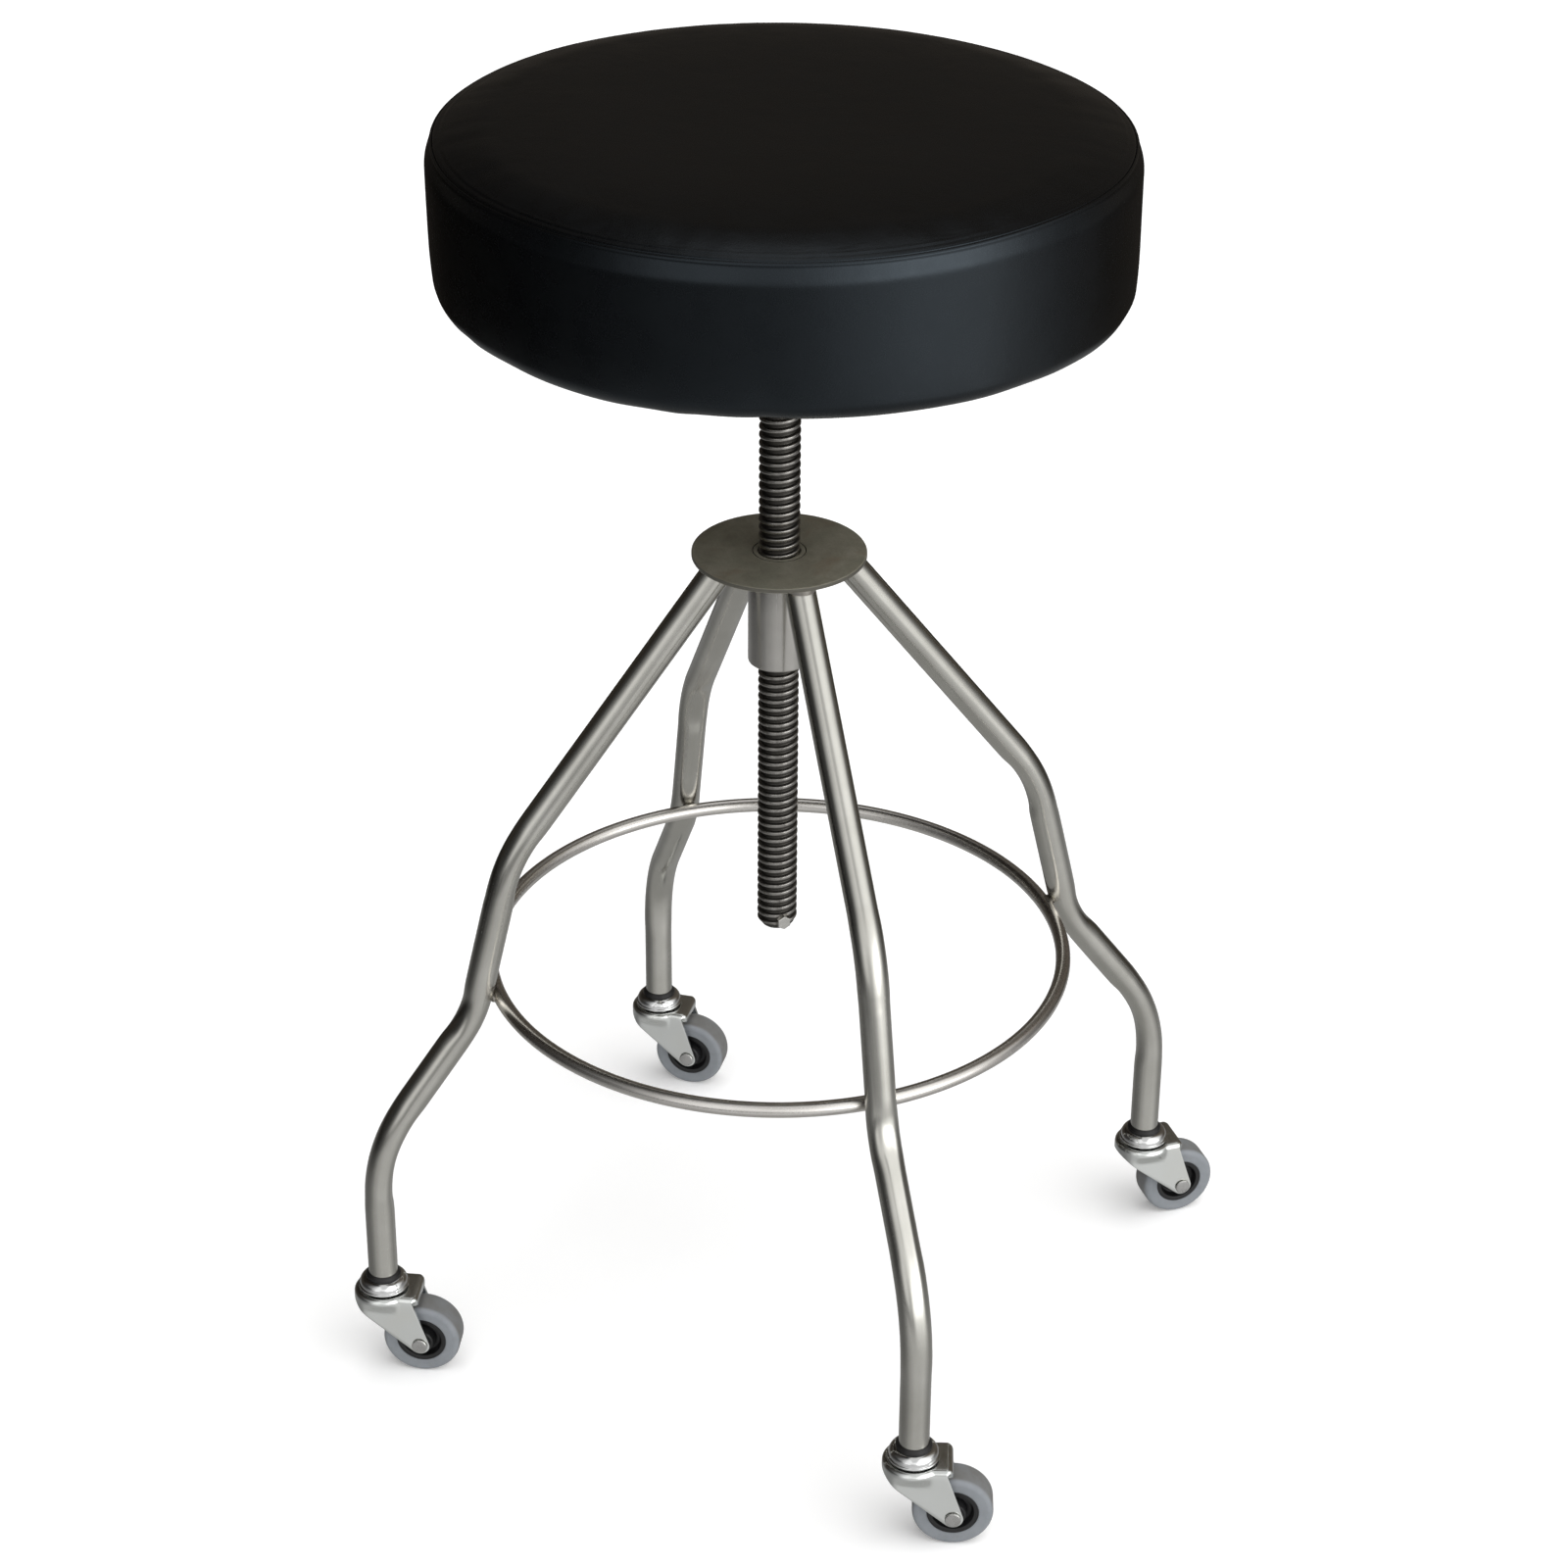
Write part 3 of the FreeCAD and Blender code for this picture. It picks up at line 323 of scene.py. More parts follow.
def mat_vinyl():
    """Black expanded vinyl: fine pebble grain, slightly uneven sheen."""
    m, nt, b = new_mat("black_vinyl")
    v = coords(nt)
    big = noise(nt, v, 14.0, 3.0, 0.5)
    grain = node(nt, "ShaderNodeTexVoronoi")
    grain.inputs["Scale"].default_value = 1100.0
    nt.links.new(v, grain.inputs["Vector"])
    fine = noise(nt, v, 2400.0, 2.0, 0.6)
    col = ramp(nt, big, [(0.25, (0.0009, 0.0009, 0.0010)), (0.75, (0.0016, 0.0015, 0.0017))])
    nt.links.new(col, b.inputs["Base Color"])
    dust = noise(nt, v, 60.0, 5.0, 0.6)
    r1 = span(nt, dust, 0.24, 0.32, 0.3, 0.7)
    nt.links.new(r1, b.inputs["Roughness"])
    b.inputs["Specular IOR Level"].default_value = 0.50
    b.inputs["Specular Tint"].default_value = (0.72, 0.87, 1.0, 1.0)
    h = math_node(nt, "ADD", math_node(nt, "MULTIPLY", grain.outputs["Distance"], 0.7), math_node(nt, "MULTIPLY", fine, 0.5))
    soft = bump(nt, b, noise(nt, v, 42.0, 4.0, 0.55), 0.22, 0.001)
    bump(nt, b, h, 0.06, 0.0004, soft)
    return m


def mat_steel(name, light, dark, rough, streak=1.0, across=520.0, along=5.0, relief=0.05):
    """Satin stainless tube: fine drawn lines along the tube, faint cloudy patches."""
    m, nt, b = new_mat(name)
    uv = coords(nt, "UV", (across, along, 1.0))
    lines = noise(nt, uv, 1.0, 3.0, 0.6)
    obj = coords(nt)
    cloud = noise(nt, obj, 26.0, 4.0, 0.6)
    specks = noise(nt, obj, 420.0, 2.0, 0.5)
    base = ramp(nt, cloud, [(0.30, dark), (0.70, light)])
    col = mixc(nt, math_node(nt, "MULTIPLY", lines, 0.35 * streak), base, dark)
    nt.links.new(col, b.inputs["Base Color"])
    b.inputs["Metallic"].default_value = 1.0
    r = math_node(nt, "ADD", span(nt, lines, rough - 0.06, rough + 0.08, 0.25, 0.75), span(nt, specks, -0.006, 0.010, 0.3, 0.7))
    nt.links.new(r, b.inputs["Roughness"])
    bump(nt, b, lines, relief * streak, 0.0002)
    return m


def mat_plate():
    """Mill-finish top plate: dull grey-brown skin with mottling and fine scratches."""
    m, nt, b = new_mat("mill_plate")
    v = coords(nt)
    mott = noise(nt, v, 75.0, 6.0, 0.62, 0.4)
    fine = noise(nt, v, 900.0, 3.0, 0.6)
    scr = noise(nt, coords(nt, "Object", (1600.0, 60.0, 60.0)), 1.0, 2.0, 0.5)
    stain = noise(nt, v, 30.0, 4.0, 0.6, 0.6)
    col = ramp(nt, mott, [(0.25, (0.285, 0.272, 0.205)), (0.52, (0.405, 0.385, 0.305)), (0.80, (0.510, 0.490, 0.405))])
    col = mixc(nt, span(nt, stain, 0.0, 0.75, 0.54, 0.70), col, (0.36, 0.290, 0.200))
    col = mixc(nt, span(nt, stain, 0.55, 0.0, 0.32, 0.46), col, (0.345, 0.350, 0.270))
    col = mixc(nt, span(nt, fine, 0.0, 0.40, 0.45, 0.75), col, (0.24, 0.210, 0.150))
    # painted shade: the upright rim is given a darker colour than the flat faces, to hold down the light it catches
    face = node(nt, "ShaderNodeNewGeometry")
    up = node(nt, "ShaderNodeSeparateXYZ")
    nt.links.new(face.outputs["Normal"], up.inputs["Vector"])
    flat = span(nt, math_node(nt, "ABSOLUTE", up.outputs["Z"]), 0.0, 1.0, 0.35, 0.92)
    col = mixc(nt, flat, (0.105, 0.100, 0.082), col)
    nt.links.new(col, b.inputs["Base Color"])
    b.inputs["Metallic"].default_value = 0.35
    r = math_node(nt, "ADD", span(nt, mott, 0.46, 0.60, 0.3, 0.7), span(nt, scr, -0.05, 0.05, 0.3, 0.7))
    nt.links.new(r, b.inputs["Roughness"])
    bump(nt, b, fine, 0.10, 0.0002)
    return m


def mat_screw():
    """Oiled dark steel thread; its colour is painted light along the crests as a highlight and dark in the roots as
    shade.
    """
    m, nt, b = new_mat("dark_screw_steel")
    at = node(nt, "ShaderNodeAttribute", attribute_name="crest", attribute_type="GEOMETRY")
    v = coords(nt)
    n1 = noise(nt, v, 180.0, 5.0, 0.65)
    n2 = noise(nt, v, 1400.0, 2.0, 0.6)
    # painted highlight along the crests and painted shade in the roots, driven by the crest attribute and broken up by
    # noise
    crest_highlight_root_shade = math_node(nt, "MULTIPLY", at.outputs["Fac"], span(nt, n1, 0.55, 1.1, 0.3, 0.65))
    col = ramp(nt, crest_highlight_root_shade, [(0.0, (0.075, 0.071, 0.065)), (0.45, (0.18, 0.172, 0.16)), (0.95, (0.45, 0.435, 0.41))])
    col = mixc(nt, span(nt, n2, 0.0, 0.35, 0.5, 0.8), col, (0.07, 0.058, 0.045))
    nt.links.new(col, b.inputs["Base Color"])
    b.inputs["Metallic"].default_value = 1.0
    nt.links.new(span(nt, crest_highlight_root_shade, 0.46, 0.26), b.inputs["Roughness"])
    bump(nt, b, n2, 0.08, 0.0002)
    return m


def mat_plated(name, light, dark, rough, scale=60.0, tint=None, bumpy=0.05, metal=1.0, fleck=1.0):
    """Zinc or nickel plate over pressed steel: slight orange peel and cloudy sheen."""
    m, nt, b = new_mat(name)
    v = coords(nt)
    n1 = noise(nt, v, scale, 4.0, 0.6)
    n2 = noise(nt, v, scale * 14.0, 2.0, 0.55)
    col = ramp(nt, n1, [(0.28, dark), (0.72, light)])
    if tint is not None:
        n3 = noise(nt, v, scale * 0.6, 2.0, 0.5)
        col = mixc(nt, span(nt, n3, 0.0, 0.5, 0.55, 0.8), col, tint)
    nt.links.new(col, b.inputs["Base Color"])
    b.inputs["Metallic"].default_value = metal
    nt.links.new(math_node(nt, "ADD", span(nt, n1, rough - 0.04, rough + 0.06, 0.3, 0.7), span(nt, n2, -0.02 * fleck, 0.03 * fleck, 0.3, 0.7)), b.inputs["Roughness"])
    bump(nt, b, n2, bumpy, 0.0002)
    return m


def mat_weld():
    m, nt, b = new_mat("weld_bead")
    v = coords(nt)
    n1 = noise(nt, v, 160.0, 4.0, 0.6)
    n2 = noise(nt, v, 700.0, 3.0, 0.6)
    col = ramp(nt, n1, [(0.25, (0.255, 0.230, 0.200)), (0.55, (0.375, 0.355, 0.325)), (0.8, (0.475, 0.460, 0.435))])
    nt.links.new(col, b.inputs["Base Color"])
    b.inputs["Metallic"].default_value = 1.0
    nt.links.new(span(nt, n2, 0.38, 0.52, 0.3, 0.7), b.inputs["Roughness"])
    bump(nt, b, n2, 0.12, 0.0004)
    return m


def mat_rubber():
    """Grey non-marking tread: matt, faintly dusty, with fine moulding texture."""
    m, nt, b = new_mat("grey_tread")
    v = coords(nt)
    n1 = noise(nt, v, 70.0, 5.0, 0.6)
    n2 = noise(nt, v, 1500.0, 2.0, 0.6)
    n3 = noise(nt, v, 260.0, 3.0, 0.55)
    col = ramp(nt, n1, [(0.25, (0.182, 0.196, 0.212)), (0.75, (0.226, 0.241, 0.258))])
    col = mixc(nt, span(nt, n3, 0.0, 0.35, 0.55, 0.8), col, (0.176, 0.179, 0.182))
    worn = node(nt, "ShaderNodeAttribute", attribute_name="worn", attribute_type="GEOMETRY")
    grime = math_node(nt, "MULTIPLY", worn.outputs["Fac"], span(nt, n1, 0.55, 1.0, 0.3, 0.6))
    col = mixc(nt, grime, col, (0.136, 0.135, 0.130))
    nt.links.new(col, b.inputs["Base Color"])
    nt.links.new(span(nt, n3, 0.50, 0.66, 0.3, 0.7), b.inputs["Roughness"])
    b.inputs["Specular IOR Level"].default_value = 0.38
    bump(nt, b, n2, 0.12, 0.0002)
    return m


def mat_plastic(name, dark, light, rough, scale=300.0):
    m, nt, b = new_mat(name)
    v = coords(nt)
    n1 = noise(nt, v, scale * 0.2, 4.0, 0.6)
    n2 = noise(nt, v, scale * 6.0, 2.0, 0.6)
    nt.links.new(ramp(nt, n1, [(0.3, dark), (0.7, light)]), b.inputs["Base Color"])
    nt.links.new(span(nt, n1, rough - 0.06, rough + 0.1, 0.3, 0.7), b.inputs["Roughness"])
    bump(nt, b, n2, 0.10, 0.0002)
    return m


def mat_ply():
    m, nt, b = new_mat("plywood")
    v = coords(nt, "Object", (9.0, 160.0, 900.0))
    g = noise(nt, v, 1.0, 6.0, 0.6, 0.6)
    f = noise(nt, coords(nt, "Object", (60.0, 1500.0, 60.0)), 1.0, 3.0, 0.6)
    col = ramp(nt, g, [(0.25, (0.36, 0.22, 0.11)), (0.55, (0.52, 0.36, 0.20)), (0.85, (0.62, 0.47, 0.29))])
    col = mixc(nt, span(nt, f, 0.0, 0.4, 0.5, 0.75), col, (0.30, 0.18, 0.09))
    nt.links.new(col, b.inputs["Base Color"])
    nt.links.new(span(nt, f, 0.55, 0.75), b.inputs["Roughness"])
    bump(nt, b, g, 0.15, 0.0006)
    return m


def mat_lining():
    """Black spun lining: fine crossed fibres."""
    m, nt, b = new_mat("black_lining")
    w1 = noise(nt, coords(nt, "Object", (2200.0, 260.0, 1.0)), 1.0, 3.0, 0.6)
    w2 = noise(nt, coords(nt, "Object", (260.0, 2200.0, 1.0)), 1.0, 3.0, 0.6)
    h = math_node(nt, "MAXIMUM", w1, w2)
    nt.links.new(ramp(nt, h, [(0.35, (0.006, 0.006, 0.006)), (0.75, (0.030, 0.030, 0.031))]), b.inputs["Base Color"])
    nt.links.new(span(nt, h, 0.92, 0.72), b.inputs["Roughness"])
    b.inputs["Specular IOR Level"].default_value = 0.25
    bump(nt, b, h, 0.5, 0.0004)
    return m


VINYL = mat_vinyl()
TUBE = mat_steel("satin_stainless", (0.66, 0.65, 0.605), (0.56, 0.55, 0.505), 0.21, 0.7, relief=0.008)
ROD = mat_steel("polished_rod", (0.91, 0.885, 0.85), (0.77, 0.74, 0.695), 0.25, 0.8, 260.0, 4.0, 0.01)
HUBM = mat_steel("turned_hub", (0.66, 0.645, 0.61), (0.54, 0.525, 0.495), 0.20, 0.9, 380.0, 3.0, 0.02)
PLATE = mat_plate()
SCREW = mat_screw()
WELD = mat_weld()
FORK = mat_plated("zinc_fork", (0.92, 0.94, 0.92), (0.87, 0.89, 0.865), 0.17, 46.0, (0.88, 0.87, 0.80), 0.0015, 1.0, 0.2)
CAP = mat_plated("bright_cap", (0.93, 0.935, 0.93), (0.88, 0.885, 0.88), 0.09, 90.0, None, 0.001, 1.0, 0.15)
PIN = mat_plated("plated_steel", (0.60, 0.595, 0.58), (0.47, 0.465, 0.45), 0.28, 160.0, None, 0.02)
BOLT = mat_plated("plated_fasteners", (0.70, 0.69, 0.66), (0.58, 0.57, 0.54), 0.22, 190.0)
RAW = mat_plated("plain_steel", (0.50, 0.485, 0.46), (0.36, 0.345, 0.325), 0.36, 40.0, (0.30, 0.27, 0.23), 0.12)
RUBBER = mat_rubber()
HUBP = mat_plastic("black_hub", (0.005, 0.005, 0.005), (0.011, 0.011, 0.012), 0.46)
SLEEVE = mat_plastic("black_sleeve", (0.006, 0.006, 0.006), (0.013, 0.012, 0.012), 0.42)
PLY = mat_ply()
LINING = mat_lining()

# ------------------------------------------------------------------ cushion
SEAM_R, SEAM_Z = 202.8, 822.0
TOP_Z, BOTTOM_Z = 829.5, 729.0
BAND_FOOT_Z, FOLD_ROUND = 739.5, 12.5
FOLD_IN = 160.0
BOARD_R, BOARD_LO, BOARD_HI = 192.2, 730.25, 742.5


def smooth(a, b, x):
    t = max(0.0, min(1.0, (x - a) / (b - a)))
    return t * t * (3 - 2 * t)


def top_drop(r):
    """Fall of the top panel: nearly flat, then a rounded shoulder down to the seam."""
    if r <= 166.0:
        return 0.3 * (r / 166.0) ** 2.5
    fall = 0.3
    steps = 24
    for k in range(steps):
        x = 166.0 + (r - 166.0) * (k + 0.5) / steps
        tilt = 0.3 + 9.7 * smooth(167.0, 181.0, x) + 5.5 * smooth(178.0, 193.0, x) + 8.0 * smooth(189.0, 206.0, x)
        fall += math.tan(math.radians(tilt)) * (r - 166.0) / steps
    return fall


TOP_FALL = top_drop(SEAM_R)


def band_radius(d):
    """The band rolls out under the seam, then stands nearly straight."""
    roll = 0.0
    steps = 16
    end = min(d, 17.0)
    for k in range(steps):
        roll += 0.345 * (1 - smooth(8.0, 16.5, end * (k + 0.5) / steps)) * end / steps
    return SEAM_R + roll - 1.8 * (d / (SEAM_Z - BAND_FOOT_Z)) ** 1.6 - 0.9 * (max(0.0, d - 58.0) / 24.5) ** 2


FOLD_LEAN = math.atan(band_radius(SEAM_Z - BAND_FOOT_Z - 0.5) - band_radius(SEAM_Z - BAND_FOOT_Z + 0.5))
FOLD_EDGE = band_radius(SEAM_Z - BAND_FOOT_Z) - FOLD_ROUND * math.cos(FOLD_LEAN)


def cushion_profile():
    """(radius, height, kind) from the middle of the top to the turned-under edge."""
    pts = []
    for r in list(np.linspace(0, 150, 38)) + list(np.linspace(153, 188, 16)):
        pts.append((r, SEAM_Z + TOP_FALL - top_drop(r), 0))
    for r in np.linspace(189.2, SEAM_R, 34):
        pts.append((r, SEAM_Z + TOP_FALL - top_drop(r), 0))
    for d in list(np.linspace(0.35, 9, 24)) + list(np.linspace(10, 19, 9)) + list(np.linspace(21.5, SEAM_Z - BAND_FOOT_Z, 23)):
        pts.append((band_radius(d), SEAM_Z - d, 1))
    cx = FOLD_EDGE
    low = BAND_FOOT_Z + FOLD_ROUND * math.sin(FOLD_LEAN)
    for t in np.linspace(FOLD_LEAN, math.pi / 2, 15)[1:]:
        pts.append((cx + FOLD_ROUND * math.cos(t), low - FOLD_ROUND * math.sin(t), 2))
    drop = BOTTOM_Z - (low - FOLD_ROUND)
    for r in np.linspace(cx, FOLD_IN, 14)[1:]:
        u = max(0.0, (r - 176.0) / (cx - 176.0))
        pts.append((r, BOTTOM_Z - drop * u * u, 3))
    return pts


def ring_noise(seed, count, amount):
    """Smooth periodic wave around the rim from a few seeded harmonics."""
    rng = random.Random(seed)
    terms = [(k, rng.uniform(0, 2 * math.pi), rng.uniform(0.4, 1.0) / k ** 0.5) for k in count]
    top = sum(t[2] for t in terms)
    return lambda a: amount * sum(w * math.sin(k * a + p) for k, p, w in terms) / top


def swell_field(profile, segs=96):
    """Cloth run on a coarse copy: the cover swells against its seams and staples."""
    prof = [(max(r - 1.2, 0.0), z - (1.0 if k == 0 else 0.0)) for r, z, k in profile[::3]]
    prof[0] = (0.0, prof[0][1])
    prof += [(FOLD_IN, BOTTOM_Z + 6.0), (0.0, BOTTOM_Z + 6.0)]
    ob = lathe("cushion_blank", prof, segs, sharp=None)
    rm = ob.modifiers.new("remesh", "REMESH")
    rm.mode = "VOXEL"
    rm.voxel_size = 0.0055
    dg = bpy.context.evaluated_depsgraph_get()
    me = bpy.data.meshes.new_from_object(ob.evaluated_get(dg))
    sim = bpy.data.objects.new("cushion_sim", me)
    scene.collection.objects.link(sim)
    bpy.data.objects.remove(ob)
    rest = np.zeros(len(me.vertices) * 3)
    me.vertices.foreach_get("co", rest)
    rest = rest.reshape(-1, 3)
    vg = sim.vertex_groups.new(name="held")
    rad = np.hypot(rest[:, 0], rest[:, 1])
    for i in range(len(rest)):
        r, z = rad[i] / MM, rest[i, 2] / MM
        w = 0.0
        if z < BOTTOM_Z + 5.0 and r < 190.0:
            w = 1.0
        elif abs(z - SEAM_Z) < 4.0 and r > 196.0:
            w = 0.75
        if w > 0:
            vg.add([i], w, "REPLACE")
    cl = sim.modifiers.new("cloth", "CLOTH")
    st = cl.settings
    st.quality = 6
    st.mass = 0.4
    st.tension_stiffness = st.compression_stiffness = 22.0
    st.shear_stiffness = 12.0
    st.bending_stiffness = 4.0
    st.use_pressure = True
    st.uniform_pressure_force = 4.0
    st.vertex_group_mass = "held"
    st.pin_stiffness = 1.0
    st.effector_weights.gravity = 0.0
    cl.collision_settings.use_collision = False
    cl.point_cache.frame_start, cl.point_cache.frame_end = 1, 20
    for f in range(1, 21):
        scene.frame_set(f)
    dg = bpy.context.evaluated_depsgraph_get()
    got = np.zeros(len(me.vertices) * 3)
    sim.evaluated_get(dg).data.vertices.foreach_get("co", got)
    move = got.reshape(-1, 3) - rest
    size = np.linalg.norm(move, axis=1)
    cap = 5.0 * MM
    move *= np.minimum(1.0, cap / np.maximum(size, 1e-9))[:, None]
    scene.frame_set(1)
    bpy.data.objects.remove(sim)
    tree = KDTree(len(rest))
    for i, p in enumerate(rest):
        tree.insert(p, i)
    tree.balance()
    return tree, move


def build_cushion():
    prof = cushion_profile()
    segs = 420
    n = len(prof)
    field = swell_field(prof)
    rng = random.Random(41)
    rim = ring_noise(7, range(3, 12), 0.75)
    rim2 = ring_noise(19, range(5, 17), 0.55)
    crown = ring_noise(23, range(2, 7), 0.35)
    pulls = [2 * math.pi * (i + rng.uniform(-0.22, 0.22)) / 24 + math.radians(7.5) for i in range(24)]
    depth = [rng.uniform(0.05, 1.0) ** 1.5 for _ in pulls]
    wide = [rng.uniform(0.04, 0.10) for _ in pulls]

    def pull(a):
        s = 0.0
        for p, d, w in zip(pulls, depth, wide):
            x = (a - p + math.pi) % (2 * math.pi) - math.pi
            s += d * math.exp(-(x / w) ** 2)
        return s

    rows, verts = [], []
    for j, (r, z, kind) in enumerate(prof):
        if r < 1e-6:
            rows.append([len(verts)] * segs)
            verts.append((0.0, 0.0, z))
            continue
        row = []
        for k in range(segs):
            a = 2 * math.pi * k / segs
            rr, zz = r, z
            if kind == 0:
                w = max(0.0, (r - 120.0) / 83.0)
                zz += crown(a) * w * 0.8
                rr += rim(a) * w ** 2
            elif kind == 1:
                d = (SEAM_Z - z) / (SEAM_Z - BAND_FOOT_Z)
                rr += rim(a) * (1 - d) + rim2(a) * d * 1.3 - pull(a) * 0.85 * d ** 5
                zz += crown(a) * 0.8 * (1 - d)
            elif kind == 2:
                rr += rim2(a) * 1.3 - pull(a) * 0.85
                f = (BAND_FOOT_Z - z) / FOLD_ROUND
                zz += f * (rim2(a + 1.0) * 0.9 + pull(a) * 0.55)
            else:
                u = (r - FOLD_IN) / (FOLD_EDGE - FOLD_IN)
                zz += (rim2(a + 1.0) * 0.9 + pull(a) * 0.55) * u ** 1.5
            row.append(len(verts))
            verts.append((rr * math.cos(a), rr * math.sin(a), zz))
        rows.append(row)
    co = np.array(verts) * MM
    if field is not None:
        tree, move = field
        kinds = np.zeros(len(co), int)
        for (r, z, kind), row in zip(prof, rows):
            for i in set(row):
                kinds[i] = kind
        for i in range(len(co)):
            if kinds[i] == 3:
                continue
            near = tree.find_n(co[i], 7)
            ws = [1.0 / (d + 0.002) for _, _, d in near]
            m = sum((move[q] * w for (_, q, _), w in zip(near, ws)), np.zeros(3)) / sum(ws)
            co[i] += m * 0.45 - (np.array([0, 0, 0.0009]) if kinds[i] == 0 else 0)
    # hand-fitted cover: the seam wanders a little, and the band is fuller on one side
    def lump(a, mid, wide):
        x = (math.degrees(a) - mid + 180.0) % 360.0 - 180.0
        return math.exp(-(x / wide) ** 2)

    for (r, z, kind), row in zip(prof, rows):
        for i in set(row):
            x, y = float(co[i, 0]), float(co[i, 1])
            a = math.atan2(x * math.cos(TURN) + y * math.sin(TURN), x * math.sin(TURN) - y * math.cos(TURN))
            seam = 1.8 * lump(a, 42, 26) - 2.0 * lump(a, 168, 42) - 1.2 * lump(a, 118, 30) - 0.5 * lump(a, -85, 30)
            foot = -1.7 * lump(a, 66, 48) - 1.5 * lump(a, -26, 15) * (1 - smooth(-17, -12, math.degrees(a))) + 0.3 * lump(a, 0, 14)
            side = 1.2 * math.sin(a)
            if kind == 0:
                g = max(0.0, (r - 150.0) / (SEAM_R - 150.0)) ** 2
                dz, dr = seam * g, side * g
            elif kind == 1:
                d = (SEAM_Z - z) / (SEAM_Z - BAND_FOOT_Z)
                dz, dr = seam * (1 - d) + foot * d, side + 2.3 * d * d * lump(a, 78, 38)
            elif kind == 2:
                dz, dr = foot, side + 2.3 * lump(a, 78, 38)
            else:
                u = max(0.0, (r - 176.0) / (FOLD_EDGE - 176.0))
                dz, dr = foot * u * u, side * u
            w = math.hypot(x, y)
            co[i, 2] += dz * MM
            if w > 1e-6:
                co[i, :2] *= 1 + dr * MM / w
    # seam: a narrow valley between panel and band, and a faint crease beside it
    fade = ring_noise(57, range(1, 7), 0.6)
    seam_j = max(j for j, p in enumerate(prof) if p[2] == 0)
    flat = [(p[0], p[1]) for p in prof]
    dist = [0.0] * n
    for j in range(seam_j - 1, -1, -1):
        dist[j] = dist[j + 1] - math.hypot(flat[j][0] - flat[j + 1][0], flat[j][1] - flat[j + 1][1])
    for j in range(seam_j + 1, n):
        dist[j] = dist[j - 1] + math.hypot(flat[j][0] - flat[j - 1][0], flat[j][1] - flat[j - 1][1])
    for j, row in enumerate(rows):
        if not -14.0 < dist[j] < 14.0:
            continue
        s = dist[j]
        valley = -1.05 * math.exp(-(s / 0.75) ** 2)
        crease = 0.22 * math.exp(-((s + 2.4) / 0.9) ** 2) - 0.24 * math.exp(-((s + 5.0) / 0.8) ** 2) + 0.16 * math.exp(-((s + 6.8) / 1.1) ** 2)
        lip = 0.35 * math.exp(-((s - 2.0) / 1.1) ** 2)
        for k, i in enumerate(row):
            a = 2 * math.pi * k / segs
            push = valley + crease * (0.45 + 0.9 * fade(a)) + lip
            nx, nz = (0.5, 0.87) if s < -2 else (0.8, 0.6) if s < 1 else (1.0, 0.1)
            co[i] += np.array([nx * math.cos(a), nx * math.sin(a), nz]) * push * MM
    # the turned-under edge closes up round the board
    inner = [(FOLD_IN, BOTTOM_Z + 1.15), (BOARD_R, BOARD_LO), (BOARD_R, BOARD_HI), (0.0, BOARD_HI)]
    verts = [tuple(c) for c in co]
    for r, z in inner:
        if r == 0.0:
            rows.append([len(verts)] * segs)
            verts.append((0.0, 0.0, z * MM))
        else:
            row = []
            for k in range(segs):
                a = 2 * math.pi * k / segs
                row.append(len(verts))
                verts.append((r * MM * math.cos(a), r * MM * math.sin(a), z * MM))
            rows.append(row)
    faces = []
    for a, b in zip(rows, rows[1:]):
        for k in range(segs):
            k2 = (k + 1) % segs
            f = []
            for x in (a[k], b[k], b[k2], a[k2]):
                if x not in f:
                    f.append(x)
            if len(f) > 2:
                faces.append(f)
    ob = add_object("seat_cushion", verts, faces, None, None)
    tidy(ob)
    ob.data.set_sharp_from_angle(angle=math.radians(50))
    put(ob, VINYL)
    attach(ob, "seat")
    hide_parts("seat_top_panel", "seat_side_band", "seat_foam")
    return ob


build_cushion()

# ------------------------------------------------------------------ seat underside
dress(["seat_board"], PLY)
dress(["dust_cover"], LINING)
dress(["seat_staples", "flange_screws", "stop_bolt"], BOLT)
dress(["seat_flange", "seat_collar"], RAW)

# ------------------------------------------------------------------ lead screw
PITCH_MM = 5.55
SCREW_LO, SCREW_HI, SHANK_HI = 290.0, 290.0 + 76 * PITCH_MM, 730.2


def thread_radius(t):
    """Thread form over one pitch, t from 0 to 1, rounded at crest and root."""
    crest, flank = 0.3707, (12.7 - 10.6) * math.tan(math.radians(14.5)) / PITCH_MM
    mid = crest / 2
    x = abs((t - mid + 0.5) % 1.0 - 0.5)
    half = crest / 2 + flank / 2
    e = (x - half) / 0.042
    s = 1 / (1 + math.exp(e * 2.2))
    dome = 0.11 * (x / max(half, 1e-6)) ** 2 if x < half else 0.11
    return 10.55 + (12.7 - 10.55) * s - dome * s


